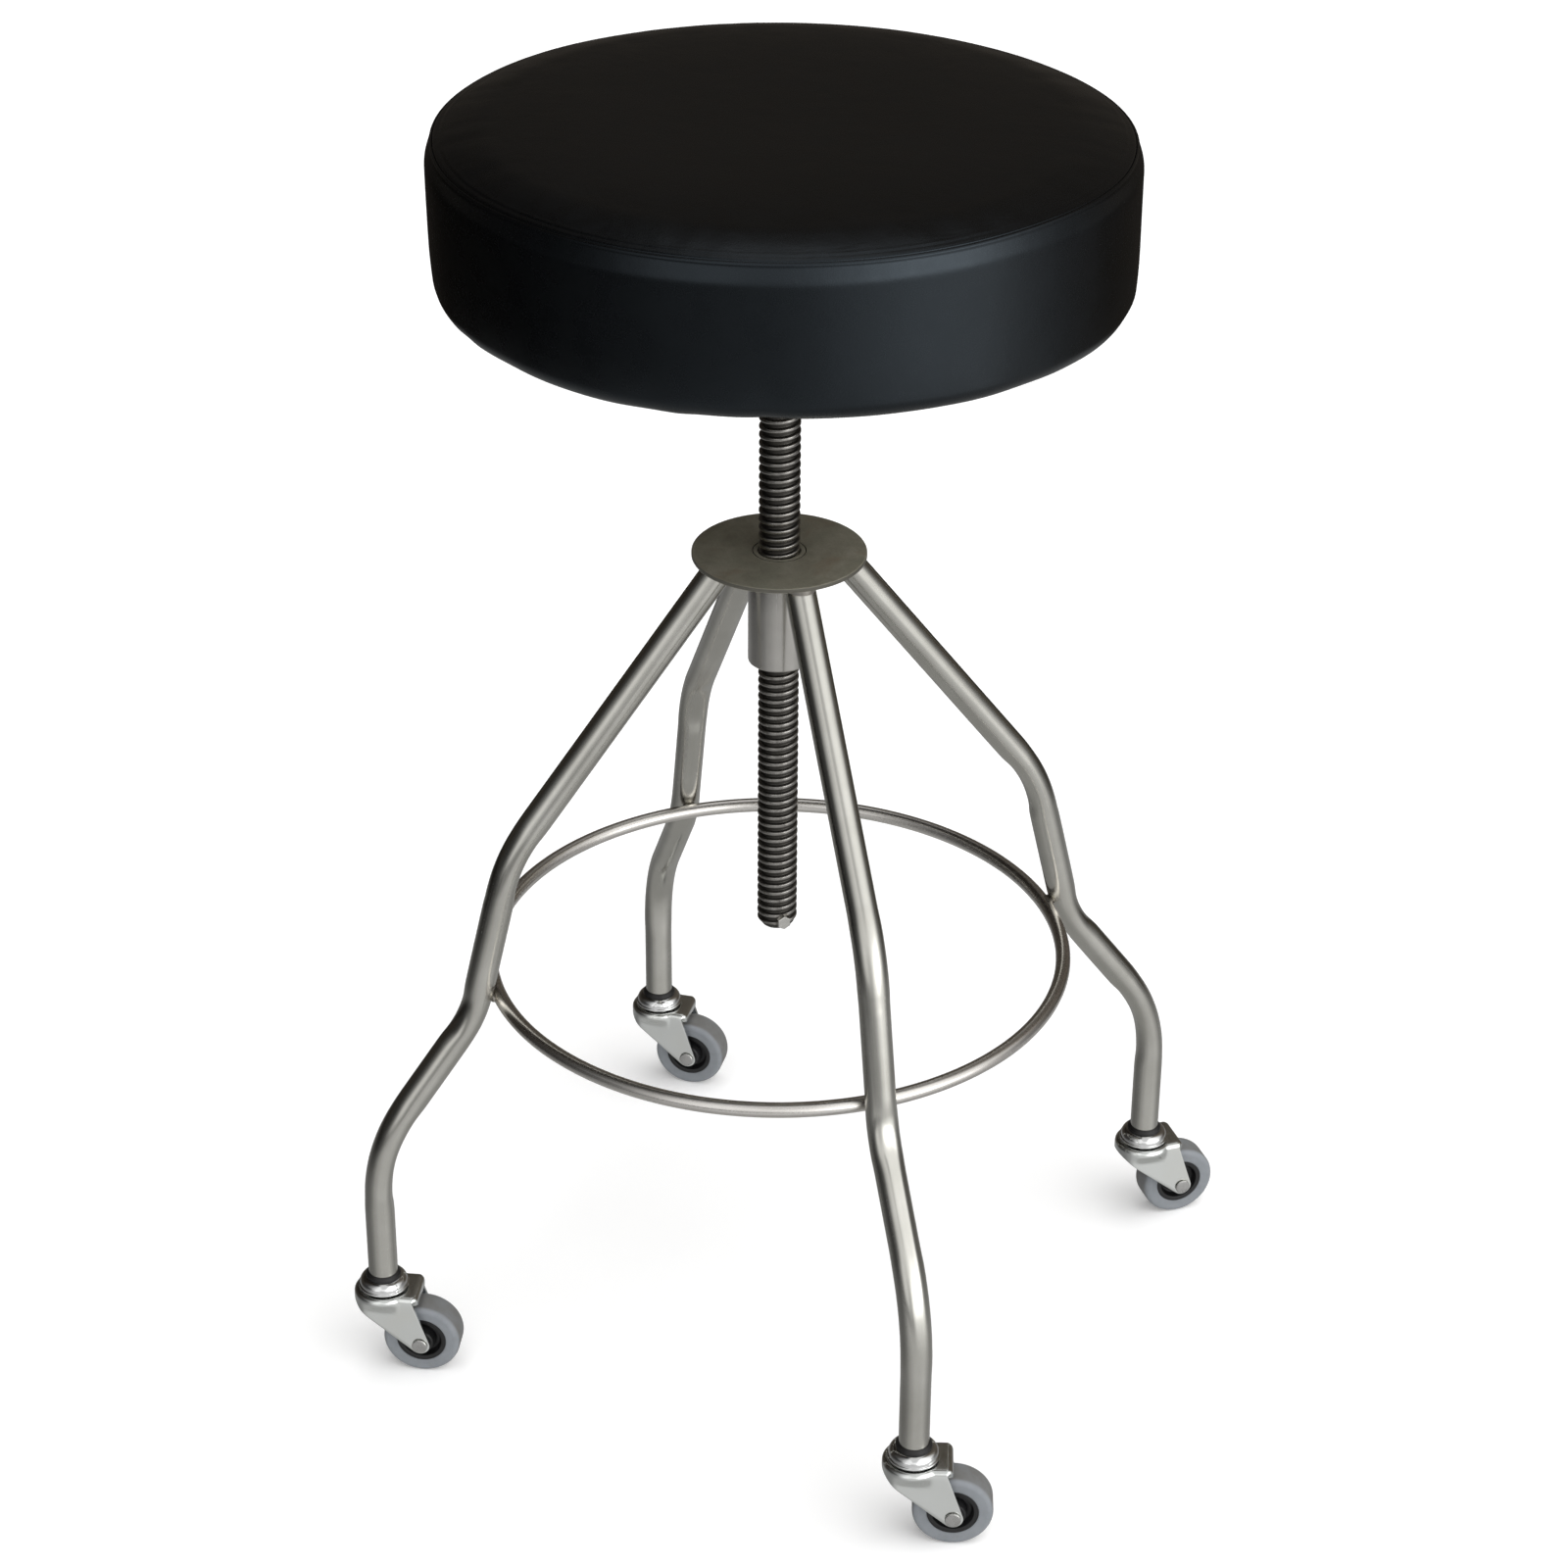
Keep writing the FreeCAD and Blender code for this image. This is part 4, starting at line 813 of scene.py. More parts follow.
def build_screw():
    per = 60
    ts = [0.0, 0.09, 0.185, 0.28, 0.345, 0.385, 0.42, 0.455, 0.50, 0.57, 0.685, 0.80, 0.87, 0.915, 0.95, 0.985]
    turns = 79
    rows = []
    verts, crest = [], []
    z0 = SCREW_LO - PITCH_MM * 1.5 + (PITCH_MM * 0.5)
    total = per * turns
    for i in range(total + 1):
        a = 2 * math.pi * (i % per) / per
        row = []
        for t in ts:
            z = z0 + PITCH_MM * (i / per + t)
            r = thread_radius(t)
            # c follows the thread form; the screw material paints it as a highlight on the crests and as shade in the
            # roots
            c = max(0.0, min(1.0, (r - 10.6) / 2.1))
            lim = 9.6 + (z - SCREW_LO) * 0.72
            if r > lim:
                r, c = max(lim, 2.0), 0.35
            x, y = r * math.cos(a), r * math.sin(a)
            if y < -11.4 and x * x + (z - 296.5) ** 2 < 5.2 ** 2:
                y, c = -11.4, 0.6
            row.append(len(verts))
            verts.append((x * MM, y * MM, z * MM))
            crest.append(c)
        rows.append(row)
    faces = []
    for i in range(total):
        a, b = rows[i], rows[i + 1]
        for j in range(len(ts) - 1):
            faces.append((a[j], b[j], b[j + 1], a[j + 1]))
        if i + per < len(rows) - 0 and i + per + 1 < len(rows):
            c, d = rows[i + per], rows[i + per + 1]
            faces.append((a[-1], b[-1], d[0], c[0]))
    me = bpy.data.meshes.new("lift_screw_thread")
    me.from_pydata(verts, [], faces)
    at = me.attributes.new("crest", "FLOAT", "POINT")
    at.data.foreach_set("value", crest)
    bm = bmesh.new()
    bm.from_mesh(me)
    for z, up in ((SCREW_LO, -1), (SCREW_HI, 1)):
        geom = list(bm.verts) + list(bm.edges) + list(bm.faces)
        cut = bmesh.ops.bisect_plane(bm, geom=geom, dist=1e-7, plane_co=(0, 0, z * MM), plane_no=(0, 0, up), clear_outer=True)
        edges = [e for e in cut["geom_cut"] if isinstance(e, bmesh.types.BMEdge)]
        bmesh.ops.contextual_create(bm, geom=edges)
    loose = [v for v in bm.verts if not v.link_faces]
    bmesh.ops.delete(bm, geom=loose, context="VERTS")
    bmesh.ops.remove_doubles(bm, verts=bm.verts, dist=1e-6)
    # plain shank up to the seat plate
    segs = 96
    ring = [(12.5, SCREW_HI - 0.6), (12.5, SHANK_HI - 0.4), (12.1, SHANK_HI), (0.0, SHANK_HI)]
    layer = bm.verts.layers.float.get("crest")
    prev = None
    first = None
    for r, z in ring:
        if r == 0.0:
            bm.faces.new(prev)
            break
        cur = []
        for k in range(segs):
            t = 2 * math.pi * k / segs
            v = bm.verts.new((r * MM * math.cos(t), r * MM * math.sin(t), z * MM))
            v[layer] = 0.55
            cur.append(v)
        if prev is not None:
            for k in range(segs):
                bm.faces.new((prev[k], prev[(k + 1) % segs], cur[(k + 1) % segs], cur[k]))
        else:
            first = cur
        prev = cur
    bm.faces.new(list(reversed(first)))
    bmesh.ops.recalc_face_normals(bm, faces=bm.faces)
    bm.to_mesh(me)
    bm.free()
    me.polygons.foreach_set("use_smooth", [True] * len(me.polygons))
    me.set_sharp_from_angle(angle=math.radians(55))
    ob = bpy.data.objects.new("lift_screw_thread", me)
    scene.collection.objects.link(ob)
    put(ob, SCREW)
    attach(ob, "seat")
    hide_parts("lift_screw")


build_screw()
dress(["thread_nut"], PLATE)

# ------------------------------------------------------------------ hub
disc = lathe("hub_plate", rounded([(16.5, 552.0), (53.7, 552.0), (53.7, 555.0), (16.5, 555.0), (16.5, 552.0)], {1: 0.7, 2: 0.8, 3: 0.3}, 5), 192)
put(disc, PLATE)
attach(disc, "base")
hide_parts("top_plate")

sleeve = lathe(
    "hub_tube",
    rounded([(16.02, 500.0), (16.02, 480.0), (19.05, 480.0), (19.05, 551.98), (16.02, 551.98), (16.02, 535.0)], {1: 0.4, 2: 1.4, 3: 0.2, 4: 0.2}, 5),
    128,
    closed=True,
)
put(sleeve, HUBM)
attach(sleeve, "base")
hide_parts("hub_sleeve")
dress(["hub_weld", "leg_welds"], WELD)

# ------------------------------------------------------------------ legs and ring
CORNERS = [(269.7, 73.0), (269.7, 168.0), (202.65, 258.3), (176.2, 367.7), (26.2, 564.0)]
ROUNDS = [112.0, 80.0, 112.0]
TUBE_R = 9.525


def leg_samples():
    """(centre, tangent, bend amount, side the bend turns to) along the tube."""
    out = []
    start = np.array(CORNERS[0])
    for i in range(1, len(CORNERS) - 1):
        p, q, s = (np.array(CORNERS[i + d], float) for d in (-1, 0, 1))
        d1, d2 = (p - q) / np.linalg.norm(p - q), (s - q) / np.linalg.norm(s - q)
        ang = math.acos(float(d1 @ d2))
        t = ROUNDS[i - 1] / math.tan(ang / 2)
        a, b = q + d1 * t, q + d2 * t
        bis = (d1 + d2) / np.linalg.norm(d1 + d2)
        cen = q + bis * ROUNDS[i - 1] / math.sin(ang / 2)
        run = np.linalg.norm(a - start)
        steps = max(2, int(run / 4.0))
        for k in range(steps):
            out.append((start + (a - start) * k / steps, -d1, 0.0, None))
        a0, a1 = math.atan2(*(a - cen)[::-1]), math.atan2(*(b - cen)[::-1])
        d = (a1 - a0 + math.pi) % (2 * math.pi) - math.pi
        steps = max(8, int(abs(math.degrees(d)) / 1.4))
        for k in range(steps):
            th = a0 + d * k / steps
            rad = np.array([math.cos(th), math.sin(th)])
            tan = np.array([-math.sin(th), math.cos(th)]) * (1 if d > 0 else -1)
            out.append((cen + rad * ROUNDS[i - 1], tan, 1.0, -rad))
        start = b
    end = np.array(CORNERS[-1], float)
    tan = (end - start) / np.linalg.norm(end - start)
    stop = start + tan * ((543.5 - start[1]) / tan[1])
    run = np.linalg.norm(stop - start)
    steps = int(run / 4.0)
    for k in range(steps + 1):
        out.append((start + (stop - start) * k / steps, tan, 0.0, None))
    return out


def build_leg(side, angle, flats=()):
    smp = leg_samples()
    pos = np.array([s[0] for s in smp])
    arc = np.concatenate([[0], np.cumsum(np.linalg.norm(np.diff(pos, axis=0), axis=1))])
    flat = np.array([s[2] for s in smp])
    inner = [s[3] for s in smp]
    soft = np.zeros(len(smp))
    for i in range(len(smp)):
        w = np.exp(-((arc - arc[i]) / 5.0) ** 2)
        w *= np.gradient(arc)
        soft[i] = (w * flat).sum() / w.sum()
    for i in range(len(smp)):
        if inner[i] is None:
            near = [j for j in range(len(smp)) if inner[j] is not None]
            j = min(near, key=lambda q: abs(arc[q] - arc[i]))
            inner[i] = inner[j]
    # each bend is squeezed thinner on its hollow side
    nips = []
    runs = np.flatnonzero(np.diff(np.concatenate([[0.0], flat, [0.0]])))
    for lo, hi, deep in zip(runs[::2], runs[1::2], (1.15, 0.35, 0.7)):
        nips.append((0.5 * (arc[lo] + arc[hi - 1]), deep))
    segs = 48
    verts, faces, uvs, rows = [], [], [], []
    for i, (c, t, _, _) in enumerate(smp):
        nrm = np.array([t[1], -t[0]])
        w = soft[i]
        row = []
        for k in range(segs):
            th = 2 * math.pi * k / segs
            ca, sa = math.cos(th), math.sin(th)
            a = TUBE_R * (1 - 0.050 * w)
            b = TUBE_R * (1 + 0.034 * w)
            face_in = max(0.0, float(np.dot(nrm * ca, inner[i])))
            a -= (0.35 * w + sum(d * math.exp(-((arc[i] - m) / 21.0) ** 2) for m, d in nips)) * face_in ** 2
            cut = 1.0
            for lo, hi, turn, wide, deep in flats:
                run = smooth(lo, lo + 22.0, arc[i]) * (1 - smooth(hi - 22.0, hi, arc[i]))
                off = (th - turn + math.pi) % (2 * math.pi) - math.pi
                cut -= deep / TUBE_R * run * math.exp(-(off / wide) ** 2)
            p = c + nrm * (a * ca * cut)
            y = b * sa * cut
            row.append(len(verts))
            verts.append((p[0] * MM, y * MM, p[1] * MM))
        rows.append(row)
    # top end cut level under the plate
    c, t = smp[-1][0], smp[-1][1]
    row = []
    for k in range(segs):
        x, y, z = verts[rows[-1][k]]
        step = (551.9 * MM - z) / t[1]
        row.append(len(verts))
        verts.append((x + t[0] * step, y, z + t[1] * step))
    rows.append(row)
    arc = np.append(arc, arc[-1] + 9.0)
    around = 2 * math.pi * TUBE_R * MM
    for i in range(len(rows) - 1):
        for k in range(segs):
            k2 = (k + 1) % segs
            faces.append((rows[i][k], rows[i][k2], rows[i + 1][k2], rows[i + 1][k]))
            u0, u1 = around * k / segs, around * (k + 1) / segs
            uvs.append([(u0, arc[i] * MM), (u1, arc[i] * MM), (u1, arc[i + 1] * MM), (u0, arc[i + 1] * MM)])
    faces.append(tuple(reversed(rows[0])))
    uvs.append([(0, 0)] * segs)
    faces.append(tuple(rows[-1]))
    uvs.append([(0, 0)] * segs)
    ob = add_object("leg_tube_" + side, verts, faces, uvs, None, Matrix.Rotation(math.radians(angle), 4, "Z"))
    bm = bmesh.new()
    bm.from_mesh(ob.data)
    bmesh.ops.recalc_face_normals(bm, faces=bm.faces)
    bm.to_mesh(ob.data)
    bm.free()
    ob.data.set_sharp_from_angle(angle=math.radians(50))
    put(ob, TUBE)
    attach(ob, "base")
    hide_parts("leg_" + side)


SIDES = [("front", -90.0, -20.2), ("right", 0.0, -0.4), ("back", 90.0, -33.1), ("left", 180.0, -24.5)]
for side, angle, yaw in SIDES:
    # the front tube is nipped a little flat between its two lower bends
    flats = [(66.0, 220.0, 0.05, 0.30, 0.60), (78.0, 200.0, 0.75, 0.22, 0.30)] if side == "front" else []
    build_leg(side, angle, flats)


def build_ring():
    big, small, seg, sub = 185.0, 4.76, 420, 28
    verts, faces, uvs = [], [], []
    for i in range(seg):
        a = 2 * math.pi * i / seg
        for k in range(sub):
            t = 2 * math.pi * k / sub
            r = big + small * math.cos(t)
            verts.append((r * MM * math.cos(a), r * MM * math.sin(a), (269.6 + small * math.sin(t)) * MM))
    run, around = 2 * math.pi * big * MM, 2 * math.pi * small * MM
    for i in range(seg):
        for k in range(sub):
            i2, k2 = (i + 1) % seg, (k + 1) % sub
            faces.append((i * sub + k, i2 * sub + k, i2 * sub + k2, i * sub + k2))
            u0, u1 = around * k / sub, around * (k + 1) / sub
            v0, v1 = run * i / seg, run * (i + 1) / seg
            uvs.append([(u0, v0), (u0, v1), (u1, v1), (u1, v0)])
    ob = add_object("foot_ring_rod", verts, faces, uvs, None)
    put(ob, ROD)
    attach(ob, "base")
    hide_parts("foot_ring")


build_ring()


def build_ring_welds():
    """Small neat beads where the ring meets each leg, drawn in close to the joint."""
    src = NODES["ring_welds"]
    verts = []
    for v in src.data.vertices:
        q = src.matrix_world @ v.co
        a = round(math.atan2(q.y, q.x) / (math.pi / 2)) * math.pi / 2
        mid = Vector((189.8 * MM * math.cos(a), 189.8 * MM * math.sin(a), 269.6 * MM))
        verts.append(mid + (q - mid) * 0.56)
    ob = add_object("ring_weld_beads", verts, [tuple(f.vertices) for f in src.data.polygons], None, None)
    tidy(ob)
    ob.data.set_sharp_from_angle(angle=math.radians(45))
    put(ob, WELD)
    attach(ob, "base")
    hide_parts("ring_welds")


build_ring_welds()

# ------------------------------------------------------------------ casters
WHEEL_R, TRAIL, FOOT_R = 25.2, 25.0, 269.7


def fork_outline(crown, half, blend, count=13):
    """Half plan outline from the front of the crown to the start of the straight side."""
    xc = math.sqrt((crown + blend) ** 2 - (half + blend) ** 2)
    tx, ty = xc * crown / (crown + blend), (half + blend) * crown / (crown + blend)
    pts = []
    end = math.atan2(ty, tx)
    for k in range(25):
        a = math.pi + (end - math.pi) * k / 24
        pts.append((crown * math.cos(a), crown * math.sin(a)))
    a0 = math.atan2(ty - (half + blend), tx - xc)
    a1 = -math.pi / 2
    for k in range(1, 9):
        a = a0 + (a1 - a0) * k / 8
        pts.append((xc + blend * math.cos(a), half + blend + blend * math.sin(a)))
    return pts


def fork_mesh(name, matrix):
    """Pressed fork: crown with a rounded shoulder and two tapering side plates."""
    crown, half, blend, top, tail, sh = 19.5, 15.6, 6.0, 61.5, 21.0, 3.4
    ax, az, boss = TRAIL, WHEEL_R, 6.4

    def tangent(px, pz, sign):
        dx, dz = ax - px, az - pz
        d = math.hypot(dx, dz)
        a = math.atan2(dz, dx) + sign * math.asin(boss / d)
        length = math.sqrt(d * d - boss * boss)
        return px + length * math.cos(a), pz + length * math.sin(a)

    lead = (-22.0, 57.0)
    t1 = tangent(*lead, -1)
    back = (tail, top - sh)
    t2 = tangent(*back, 1)

    def z_low(x):
        if x <= t1[0]:
            return lead[1] + (t1[1] - lead[1]) * (x - lead[0]) / (t1[0] - lead[0])
        if x <= ax + boss:
            return az - math.sqrt(max(0.0, boss * boss - (x - ax) ** 2))
        return az

    def z_high(x):
        if x <= tail:
            return top - sh
        if x <= t2[0]:
            return back[1] + (t2[1] - back[1]) * (x - tail) / (t2[0] - tail)
        return az + math.sqrt(max(0.0, boss * boss - (x - ax) ** 2))

    rows_n = 12
    steps_sh = 7
    base = fork_outline(crown, half, blend)
    insets = [fork_outline(crown - sh * (1 - math.cos(t)), half - sh * (1 - math.cos(t)), blend + sh * (1 - math.cos(t))) for t in np.linspace(0, math.pi / 2, steps_sh + 1)[1:]]
    heights = [top - sh + sh * math.sin(t) for t in np.linspace(0, math.pi / 2, steps_sh + 1)[1:]]
    side_x = list(np.linspace(base[-1][0], tail, 8)[1:])
    far_x = [tail + (ax + boss - tail) * math.sin(t) for t in np.linspace(0, math.pi / 2, 15)[1:]]
    verts, faces = [], []

    def vid(x, y, z):
        verts.append((x, y, z))
        return len(verts) - 1

    def plan(x, y, z):
        """Half width at a height: the round of the crown dies out down the flat plates."""
        flat = half
        if x < 0.0:
            h = max(2.2 - abs(y - half), 0.0) / 2.2
            flat = min(y, half) - h * h * 0.55
        return flat + (y - flat) * smooth(50.5, top - sh, z)

    cols = []
    for sgn in (1, -1):
        part = []
        for i, (x, y) in enumerate(base):
            zs = np.linspace(z_low(x), top - sh, rows_n)
            col = [vid(x, sgn * plan(x, y, z), z) for z in zs]
            for ins, h in zip(insets, heights):
                col.append(vid(ins[i][0], sgn * ins[i][1], h))
            part.append(col)
        for x in side_x:
            zs = np.linspace(z_low(x), top - sh, rows_n)
            col = [vid(x, sgn * half, z) for z in zs]
            for q, h in enumerate(heights):
                d = sh * (1 - math.cos((q + 1) * math.pi / 2 / steps_sh))
                col.append(vid(x, sgn * (half - d), h))
            part.append(col)
        far = []
        for x in far_x:
            lo, hi = z_low(x), z_high(x)
            if hi - lo < 0.05:
                far.append([vid(x, sgn * half, (lo + hi) / 2)] * rows_n)
            else:
                far.append([vid(x, sgn * half, z) for z in np.linspace(lo, hi, rows_n)])
        cols.append((part, far))
    for (part, far), sgn in zip(cols, (1, -1)):
        for a, b in zip(part, part[1:]):
            for j in range(len(a) - 1):
                f = [a[j], b[j], b[j + 1], a[j + 1]]
                faces.append(f if sgn > 0 else f[::-1])
        link = [part[-1][:rows_n]] + far
        for a, b in zip(link, link[1:]):
            for j in range(rows_n - 1):
                f = []
                for x in (a[j], b[j], b[j + 1], a[j + 1]):
                    if x not in f:
                        f.append(x)
                if len(f) > 2:
                    faces.append(f if sgn > 0 else f[::-1])
    # crown: strips across from one side to the other
    left, right = cols[0][0], cols[1][0]
    n_across = 8
    mids = []
    for a, b in zip(left, right):
        va, vb = verts[a[-1]], verts[b[-1]]
        row = [a[-1]]
        for k in range(1, n_across):
            t = k / n_across
            row.append(vid(va[0] + (vb[0] - va[0]) * t, va[1] + (vb[1] - va[1]) * t, top))
        row.append(b[-1])
        mids.append(row)
    for a, b in zip(mids, mids[1:]):
        for k in range(n_across):
            faces.append([a[k], a[k + 1], b[k + 1], b[k]])
    # tail of the crown, turned down behind the wheel
    turn_r, lip = 3.7, 2.4
    edge = left[-1][rows_n - 1:] + mids[-1][1:-1] + right[-1][rows_n - 1:][::-1]
    start = [verts[i] for i in edge]
    for q in range(1, 10):
        t = min(1.0, q / 7) * math.pi / 2
        down = lip * max(0, q - 7) / 2
        row = []
        for x, y, z in start:
            rad = turn_r - (top - z)
            row.append(vid(tail + rad * math.sin(t), y * (1 - 0.15 * q / 9), top - turn_r + rad * math.cos(t) - down))
        for k in range(len(row) - 1):
            faces.append([edge[k], edge[k + 1], row[k + 1], row[k]])
        edge = row
    ob = add_object(name, [tuple(c * MM for c in v) for v in verts], faces, None, None)
    tidy(ob, 2e-6)
    so = ob.modifiers.new("plate", "SOLIDIFY")
    so.thickness = 2.0 * MM
    so.offset = -1.0
    so.use_even_offset = True
    be = ob.modifiers.new("edge", "BEVEL")
    be.width = 0.28 * MM
    be.segments = 2
    be.limit_method = "ANGLE"
    be.angle_limit = math.radians(55)
    dg = bpy.context.evaluated_depsgraph_get()
    me = bpy.data.meshes.new_from_object(ob.evaluated_get(dg))
    bpy.data.objects.remove(ob)
    me.name = name
    me.polygons.foreach_set("use_smooth", [True] * len(me.polygons))
    me.set_sharp_from_angle(angle=math.radians(42))
    me.transform(matrix)
    ob = bpy.data.objects.new(name, me)
    scene.collection.objects.link(ob)
    return ob


def build_caster(side, leg_angle, yaw):
    n = "caster_%s_" % side
    fx, fy = FOOT_R * math.cos(math.radians(leg_angle)), FOOT_R * math.sin(math.radians(leg_angle))
    foot = Matrix.Translation((fx * MM, fy * MM, 0))
    turned = foot @ Matrix.Rotation(math.radians(yaw), 4, "Z")
    axle_at = turned @ Matrix.Translation((TRAIL * MM, 0, WHEEL_R * MM))
    fixed, body, wheel = "base", "caster_" + side, "wheel_" + side

    sl = lathe(n + "collar", rounded([(4.05, 70.3), (11.6, 70.3), (11.35, 71.9), (9.9, 73.6), (7.7, 73.6), (7.7, 90.0), (4.05, 90.0)], {1: 0.4, 2: 1.0, 3: 0.4, 5: 0.3}, 4), 72, closed=True, matrix=foot)
    put(sl, SLEEVE)
    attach(sl, fixed)
    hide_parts(n + "sleeve")

    cap = lathe(
        n + "race_cap",
        [(4.05, 70.15)]
        + [(10.4 + 5.25 * math.sin(t), 65.0 + 5.2 * math.cos(t)) for t in np.linspace(0.10, math.pi / 2, 16)]
        + rounded([(15.65, 64.9), (15.7, 64.5), (16.5, 64.35), (16.5, 63.0), (15.4, 63.0), (14.3, 65.2), (10.5, 68.7), (4.05, 68.7)], {1: 0.3, 2: 0.45, 3: 0.4, 4: 0.3, 5: 1.5, 6: 1.0}, 5),
        96,
        closed=True,
        matrix=foot,
    )
    put(cap, CAP)
    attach(cap, fixed)
    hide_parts(n + "cap")

    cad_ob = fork_mesh(n + "fork_plate", turned)
    put(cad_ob, FORK)
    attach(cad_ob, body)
    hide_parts(n + "fork")

    pin = lathe(
        n + "rivet",
        rounded([(0, -17.3), (4.6, -17.3), (5.0, -16.9), (5.0, -16.35), (4.1, -16.2), (4.1, -15.62), (3.0, -15.62), (3.0, 15.62), (4.1, 15.62), (4.1, 16.2), (5.0, 16.35), (5.0, 16.9), (4.6, 17.3), (0, 17.3)], {1: 0.3, 2: 0.3, 3: 0.15, 10: 0.15, 11: 0.3, 12: 0.3}, 4),
        48,
        matrix=axle_at,
        axis="Y",
    )
    put(pin, PIN)
    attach(pin, body)
    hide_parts(n + "axle")

    hub = lathe(
        n + "hub",
        rounded(
            [(5.06, -12.4), (7.6, -12.4), (8.2, -11.4), (8.7, -4.2), (12.2, -4.0), (13.1, -9.3), (16.17, -9.5), (16.17, 9.5), (13.1, 9.3), (12.2, 4.0), (8.7, 4.2), (8.2, 11.4), (7.6, 12.4), (5.06, 12.4), (5.06, -12.4)],
            {1: 0.4, 2: 0.6, 3: 1.5, 4: 1.5, 5: 0.5, 6: 0.4, 7: 0.4, 8: 0.5, 9: 1.5, 10: 1.5, 11: 0.6, 12: 0.4},
            4,
        ),
        96,
        matrix=axle_at,
        axis="Y",
    )
    put(hub, HUBP)
    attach(hub, wheel)
    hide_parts(n + "wheel_hub")

    tyre = lathe(
        n + "tyre",
        rounded([(16.2, -8.8), (16.2, -9.5), (17.0, -9.9), (25.2, -10.3), (25.2, 10.3), (17.0, 9.9), (16.2, 9.5), (16.2, 8.8), (16.2, -8.8)], {2: 0.4, 3: 3.7, 4: 3.7, 5: 0.4}, 12),
        128,
        matrix=axle_at,
        axis="Y",
    )
    back = axle_at.inverted()
    worn = []
    for v in tyre.data.vertices:
        q = back @ v.co / MM
        worn.append(smooth(23.2, 25.1, math.hypot(q.x, q.z)) * (1 - smooth(6.4, 9.4, abs(q.y))))
    tyre.data.attributes.new("worn", "FLOAT", "POINT").data.foreach_set("value", worn)
    put(tyre, RUBBER)
    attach(tyre, wheel)
    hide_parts(n + "tread")
    dress([n + "stem", n + "balls", n + "bush"], PIN)


for side, angle, yaw in SIDES:
    build_caster(side, angle, yaw)

# ------------------------------------------------------------------ floor, light, world
floor_me = bpy.data.meshes.new("floor")
floor_me.from_pydata([(-7, -7, 0), (7, -7, 0), (7, 7, 0), (-7, 7, 0)], [], [(0, 1, 2, 3)])
floor = bpy.data.objects.new("floor", floor_me)
scene.collection.objects.link(floor)
fm, fnt, fb = new_mat("pale_floor")
fv = coords(fnt)
fn = noise(fnt, fv, 3.0, 3.0, 0.5)
fnt.links.new(ramp(fnt, fn, [(0.3, (0.86, 0.86, 0.86)), (0.7, (0.885, 0.885, 0.885))]), fb.inputs["Base Color"])
fb.inputs["Roughness"].default_value = 0.85
fb.inputs["Specular IOR Level"].default_value = 0.1
fb.inputs["Emission Color"].default_value = (1.0, 1.0, 1.0, 1.0)
fb.inputs["Emission Strength"].default_value = 0.20
floor_me.materials.append(fm)
floor.visible_glossy = False


def make_backdrop():
    """Plain pale studio wall all round; it neither lights the object nor shows in it."""
    ob = lathe("backdrop", [(6700.0, -10.0)] + [(6800.0 * math.cos(t), 6800.0 * math.sin(t)) for t in np.linspace(0.0, math.pi / 2, 13)[:-1]] + [(0.0, 6800.0)], 64, sharp=None)
    m = bpy.data.materials.new("backdrop")
    m.use_nodes = True
    nt = m.node_tree
    nt.nodes.clear()
    out = node(nt, "ShaderNodeOutputMaterial")
    em = node(nt, "ShaderNodeEmission")
    tone = noise(nt, coords(nt), 0.4, 2.0, 0.5)
    nt.links.new(ramp(nt, tone, [(0.3, (0.985, 0.985, 0.985)), (0.7, (1.0, 1.0, 1.0))]), em.inputs["Color"])
    nt.links.new(em.outputs["Emission"], out.inputs["Surface"])
    ob.data.materials.append(m)
    ob.visible_diffuse = ob.visible_glossy = ob.visible_shadow = False
    ob.visible_transmission = ob.visible_volume_scatter = False


make_backdrop()


# places are given in the camera's frame: x right, y away from the camera
def overhead(strength, angle, lean):
    data = bpy.data.lights.new("overhead", "SUN")
    data.energy = strength
    data.angle = math.radians(angle)
    ob = bpy.data.objects.new("overhead", data)
    spin = Matrix.Rotation(TURN, 3, "Z")
    ob.rotation_mode = "QUATERNION"
    ob.rotation_quaternion = (spin @ Vector(lean)).to_track_quat("-Z", "Y")
    ob.visible_glossy = False
    scene.collection.objects.link(ob)


overhead(2.3, 75.0, (-0.22, 0.12, -1.0))


def grey(v):
    return (v, v, v)


def bearing(nt, source):
    """Azimuth round the object as 0 to 1, with 0.5 towards the camera, and x, y, z."""
    tc = node(nt, "ShaderNodeTexCoord")
    rot = node(nt, "ShaderNodeVectorRotate", rotation_type="Z_AXIS")
    rot.inputs["Angle"].default_value = -TURN
    nt.links.new(tc.outputs[source], rot.inputs["Vector"])
    sep = node(nt, "ShaderNodeSeparateXYZ")
    nt.links.new(rot.outputs["Vector"], sep.inputs["Vector"])
    az = math_node(nt, "ARCTAN2", sep.outputs["X"], math_node(nt, "MULTIPLY", sep.outputs["Y"], -1.0))
    return span(nt, az, 0.0, 1.0, -math.pi, math.pi), sep.outputs


def dial(nt, turn, stops):
    return ramp(nt, turn, [(0.5 + a / 360.0, grey(v)) for a, v in stops], "EASE")


def dial_tint(nt, turn):
    """The room behind the object is a little warm."""
    warm = (1.16, 1.0, 0.82)
    return ramp(nt, turn, [(0.0, warm), (0.16, warm), (0.30, (1, 1, 1)), (0.76, (1, 1, 1)), (0.86, warm), (1.0, warm)], "EASE")


def step(nt, fac, a, b):
    n = node(nt, "ShaderNodeMapRange", interpolation_type="SMOOTHSTEP")
    n.inputs["From Min"].default_value = a
    n.inputs["From Max"].default_value = b
    nt.links.new(fac, n.inputs["Value"])
    return n.outputs["Result"]


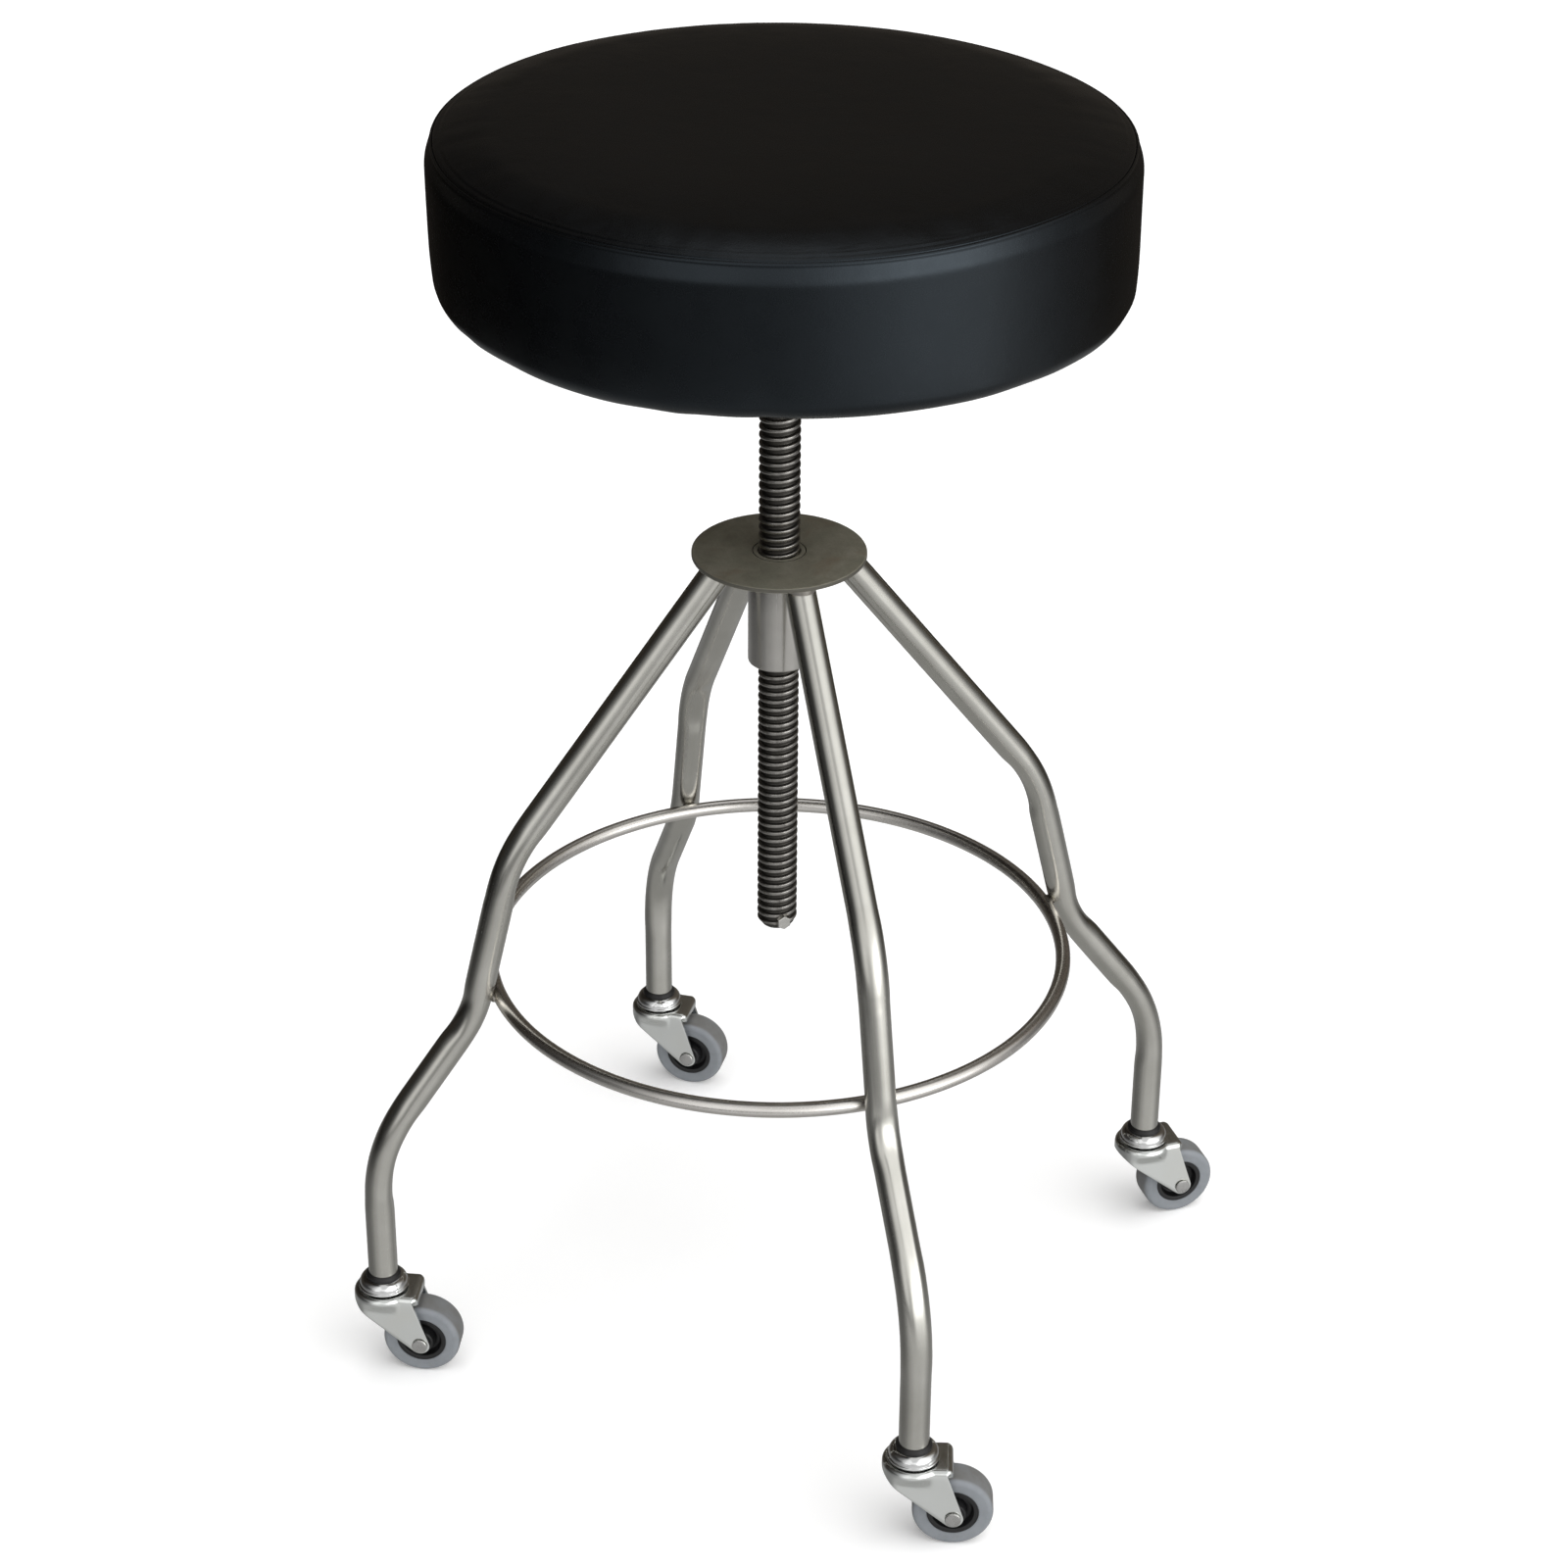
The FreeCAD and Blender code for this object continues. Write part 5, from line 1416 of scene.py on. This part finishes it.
def make_card():
    """What the seat sees of the floor some way off: bright to the right, dark to the left."""
    me = bpy.data.meshes.new("floor_card")
    me.from_pydata([(-7, -7, -0.002), (7, -7, -0.002), (7, 7, -0.002), (-7, 7, -0.002)], [], [(0, 1, 2, 3)])
    ob = bpy.data.objects.new("floor_card", me)
    scene.collection.objects.link(ob)
    m = bpy.data.materials.new("floor_card")
    m.use_nodes = True
    nt = m.node_tree
    nt.nodes.clear()
    out = node(nt, "ShaderNodeOutputMaterial")
    em = node(nt, "ShaderNodeEmission")
    clear = node(nt, "ShaderNodeBsdfTransparent")
    mix = node(nt, "ShaderNodeMixShader")
    turn, xyz = bearing(nt, "Object")
    sq = math_node(nt, "ADD", math_node(nt, "MULTIPLY", xyz["X"], xyz["X"]), math_node(nt, "MULTIPLY", xyz["Y"], xyz["Y"]))
    rho = math_node(nt, "SQRT", sq)
    far = dial(nt, turn, [
        (-180, 0.035), (-130, 0.010), (-90, 0.012), (-65, 0.05), (-45, 0.11), (-30, 0.19), (-5, 0.28), (8, 0.40),
        (25, 0.78), (45, 1.15), (65, 1.02), (80, 0.42), (95, 0.16), (120, 0.04), (150, 0.03), (180, 0.035),
    ])
    far = mixc(nt, 1.0, far, dial_tint(nt, turn), "MULTIPLY")
    nt.links.new(far, em.inputs["Color"])
    nt.links.new(step(nt, rho, 1.03, 1.43), mix.inputs["Fac"])
    nt.links.new(clear.outputs["BSDF"], mix.inputs[1])
    nt.links.new(em.outputs["Emission"], mix.inputs[2])
    nt.links.new(mix.outputs["Shader"], out.inputs["Surface"])
    me.materials.append(m)
    ob.visible_camera = ob.visible_diffuse = ob.visible_shadow = False
    ob.visible_transmission = ob.visible_volume_scatter = False


make_card()


def make_world():
    """Studio surroundings: a soft window to the right of the camera, a smaller one to its
    left, a long soft box overhead, and a dim room to the left and behind."""
    w = bpy.data.worlds.new("studio")
    w.use_nodes = True
    nt = w.node_tree
    bg = nt.nodes["Background"]
    turn, xyz = bearing(nt, "Generated")
    floor_far = dial(nt, turn, [
        (-180, 0.26), (-150, 0.25), (-110, 0.15), (-80, 0.17), (-60, 0.25), (-40, 0.42), (-5, 0.60), (30, 0.62),
        (55, 0.65), (75, 0.52), (88, 0.40), (110, 0.29), (135, 0.36), (180, 0.26),
    ])
    skirting = dial(nt, turn, [
        (-180, 0.11), (-130, 0.08), (-105, 0.04), (-80, 0.07), (-65, 0.16), (-50, 0.35), (-35, 0.56), (-15, 0.56), (0, 0.52),
        (20, 0.64), (50, 0.80), (70, 0.68), (85, 0.42), (100, 0.23), (125, 0.14), (180, 0.11),
    ])
    around = dial(nt, turn, [
        (-180, 0.06), (-130, 0.03), (-80, 0.03), (-65, 0.05), (-54, 0.15), (-44, 0.50), (-34, 0.90), (-20, 0.92), (-7, 0.64),
        (6, 0.75), (20, 1.80), (38, 3.30), (56, 3.30), (70, 1.70), (85, 0.45), (100, 0.16), (120, 0.06), (145, 0.08), (180, 0.06),
    ])
    above = dial(nt, turn, [
        (-180, 0.056), (-165, 0.034), (-150, 0.012), (-115, 0.012), (-85, 0.05), (-62, 0.20), (-45, 0.50), (-30, 0.85), (-10, 0.95), (10, 1.05),
        (40, 1.25), (62, 1.25), (82, 1.00), (98, 0.55), (112, 0.18), (128, 0.075), (150, 0.058), (180, 0.056),
    ])
    z = xyz["Z"]
    col = mixc(nt, step(nt, z, -0.90, -0.52), (0.345, 0.345, 0.34), floor_far)
    col = mixc(nt, step(nt, z, -0.48, -0.17), col, skirting)
    col = mixc(nt, step(nt, z, -0.14, 0.08), col, around)
    col = mixc(nt, step(nt, z, 0.18, 0.48), col, above)
    col = mixc(nt, step(nt, z, -0.40, 0.05), col, mixc(nt, 1.0, col, dial_tint(nt, turn), "MULTIPLY"))
    deep = math_node(nt, "MAXIMUM", z, 0.05)
    side = math_node(nt, "ABSOLUTE", math_node(nt, "SUBTRACT", math_node(nt, "DIVIDE", xyz["X"], deep), 0.07))
    back = math_node(nt, "DIVIDE", xyz["Y"], deep)
    box = math_node(nt, "MULTIPLY", math_node(nt, "SUBTRACT", 1.0, step(nt, side, 0.17, 0.31)), math_node(nt, "SUBTRACT", 1.0, step(nt, back, 0.70, 1.00)))
    box = math_node(nt, "MULTIPLY", box, step(nt, z, 0.45, 0.65))
    col = mixc(nt, box, col, (0.62, 0.62, 0.62))
    nt.links.new(col, bg.inputs["Color"])
    bg.inputs["Strength"].default_value = 1.0
    scene.world = w


make_world()
scene.view_settings.view_transform = "Standard"
scene.view_settings.look = "None"
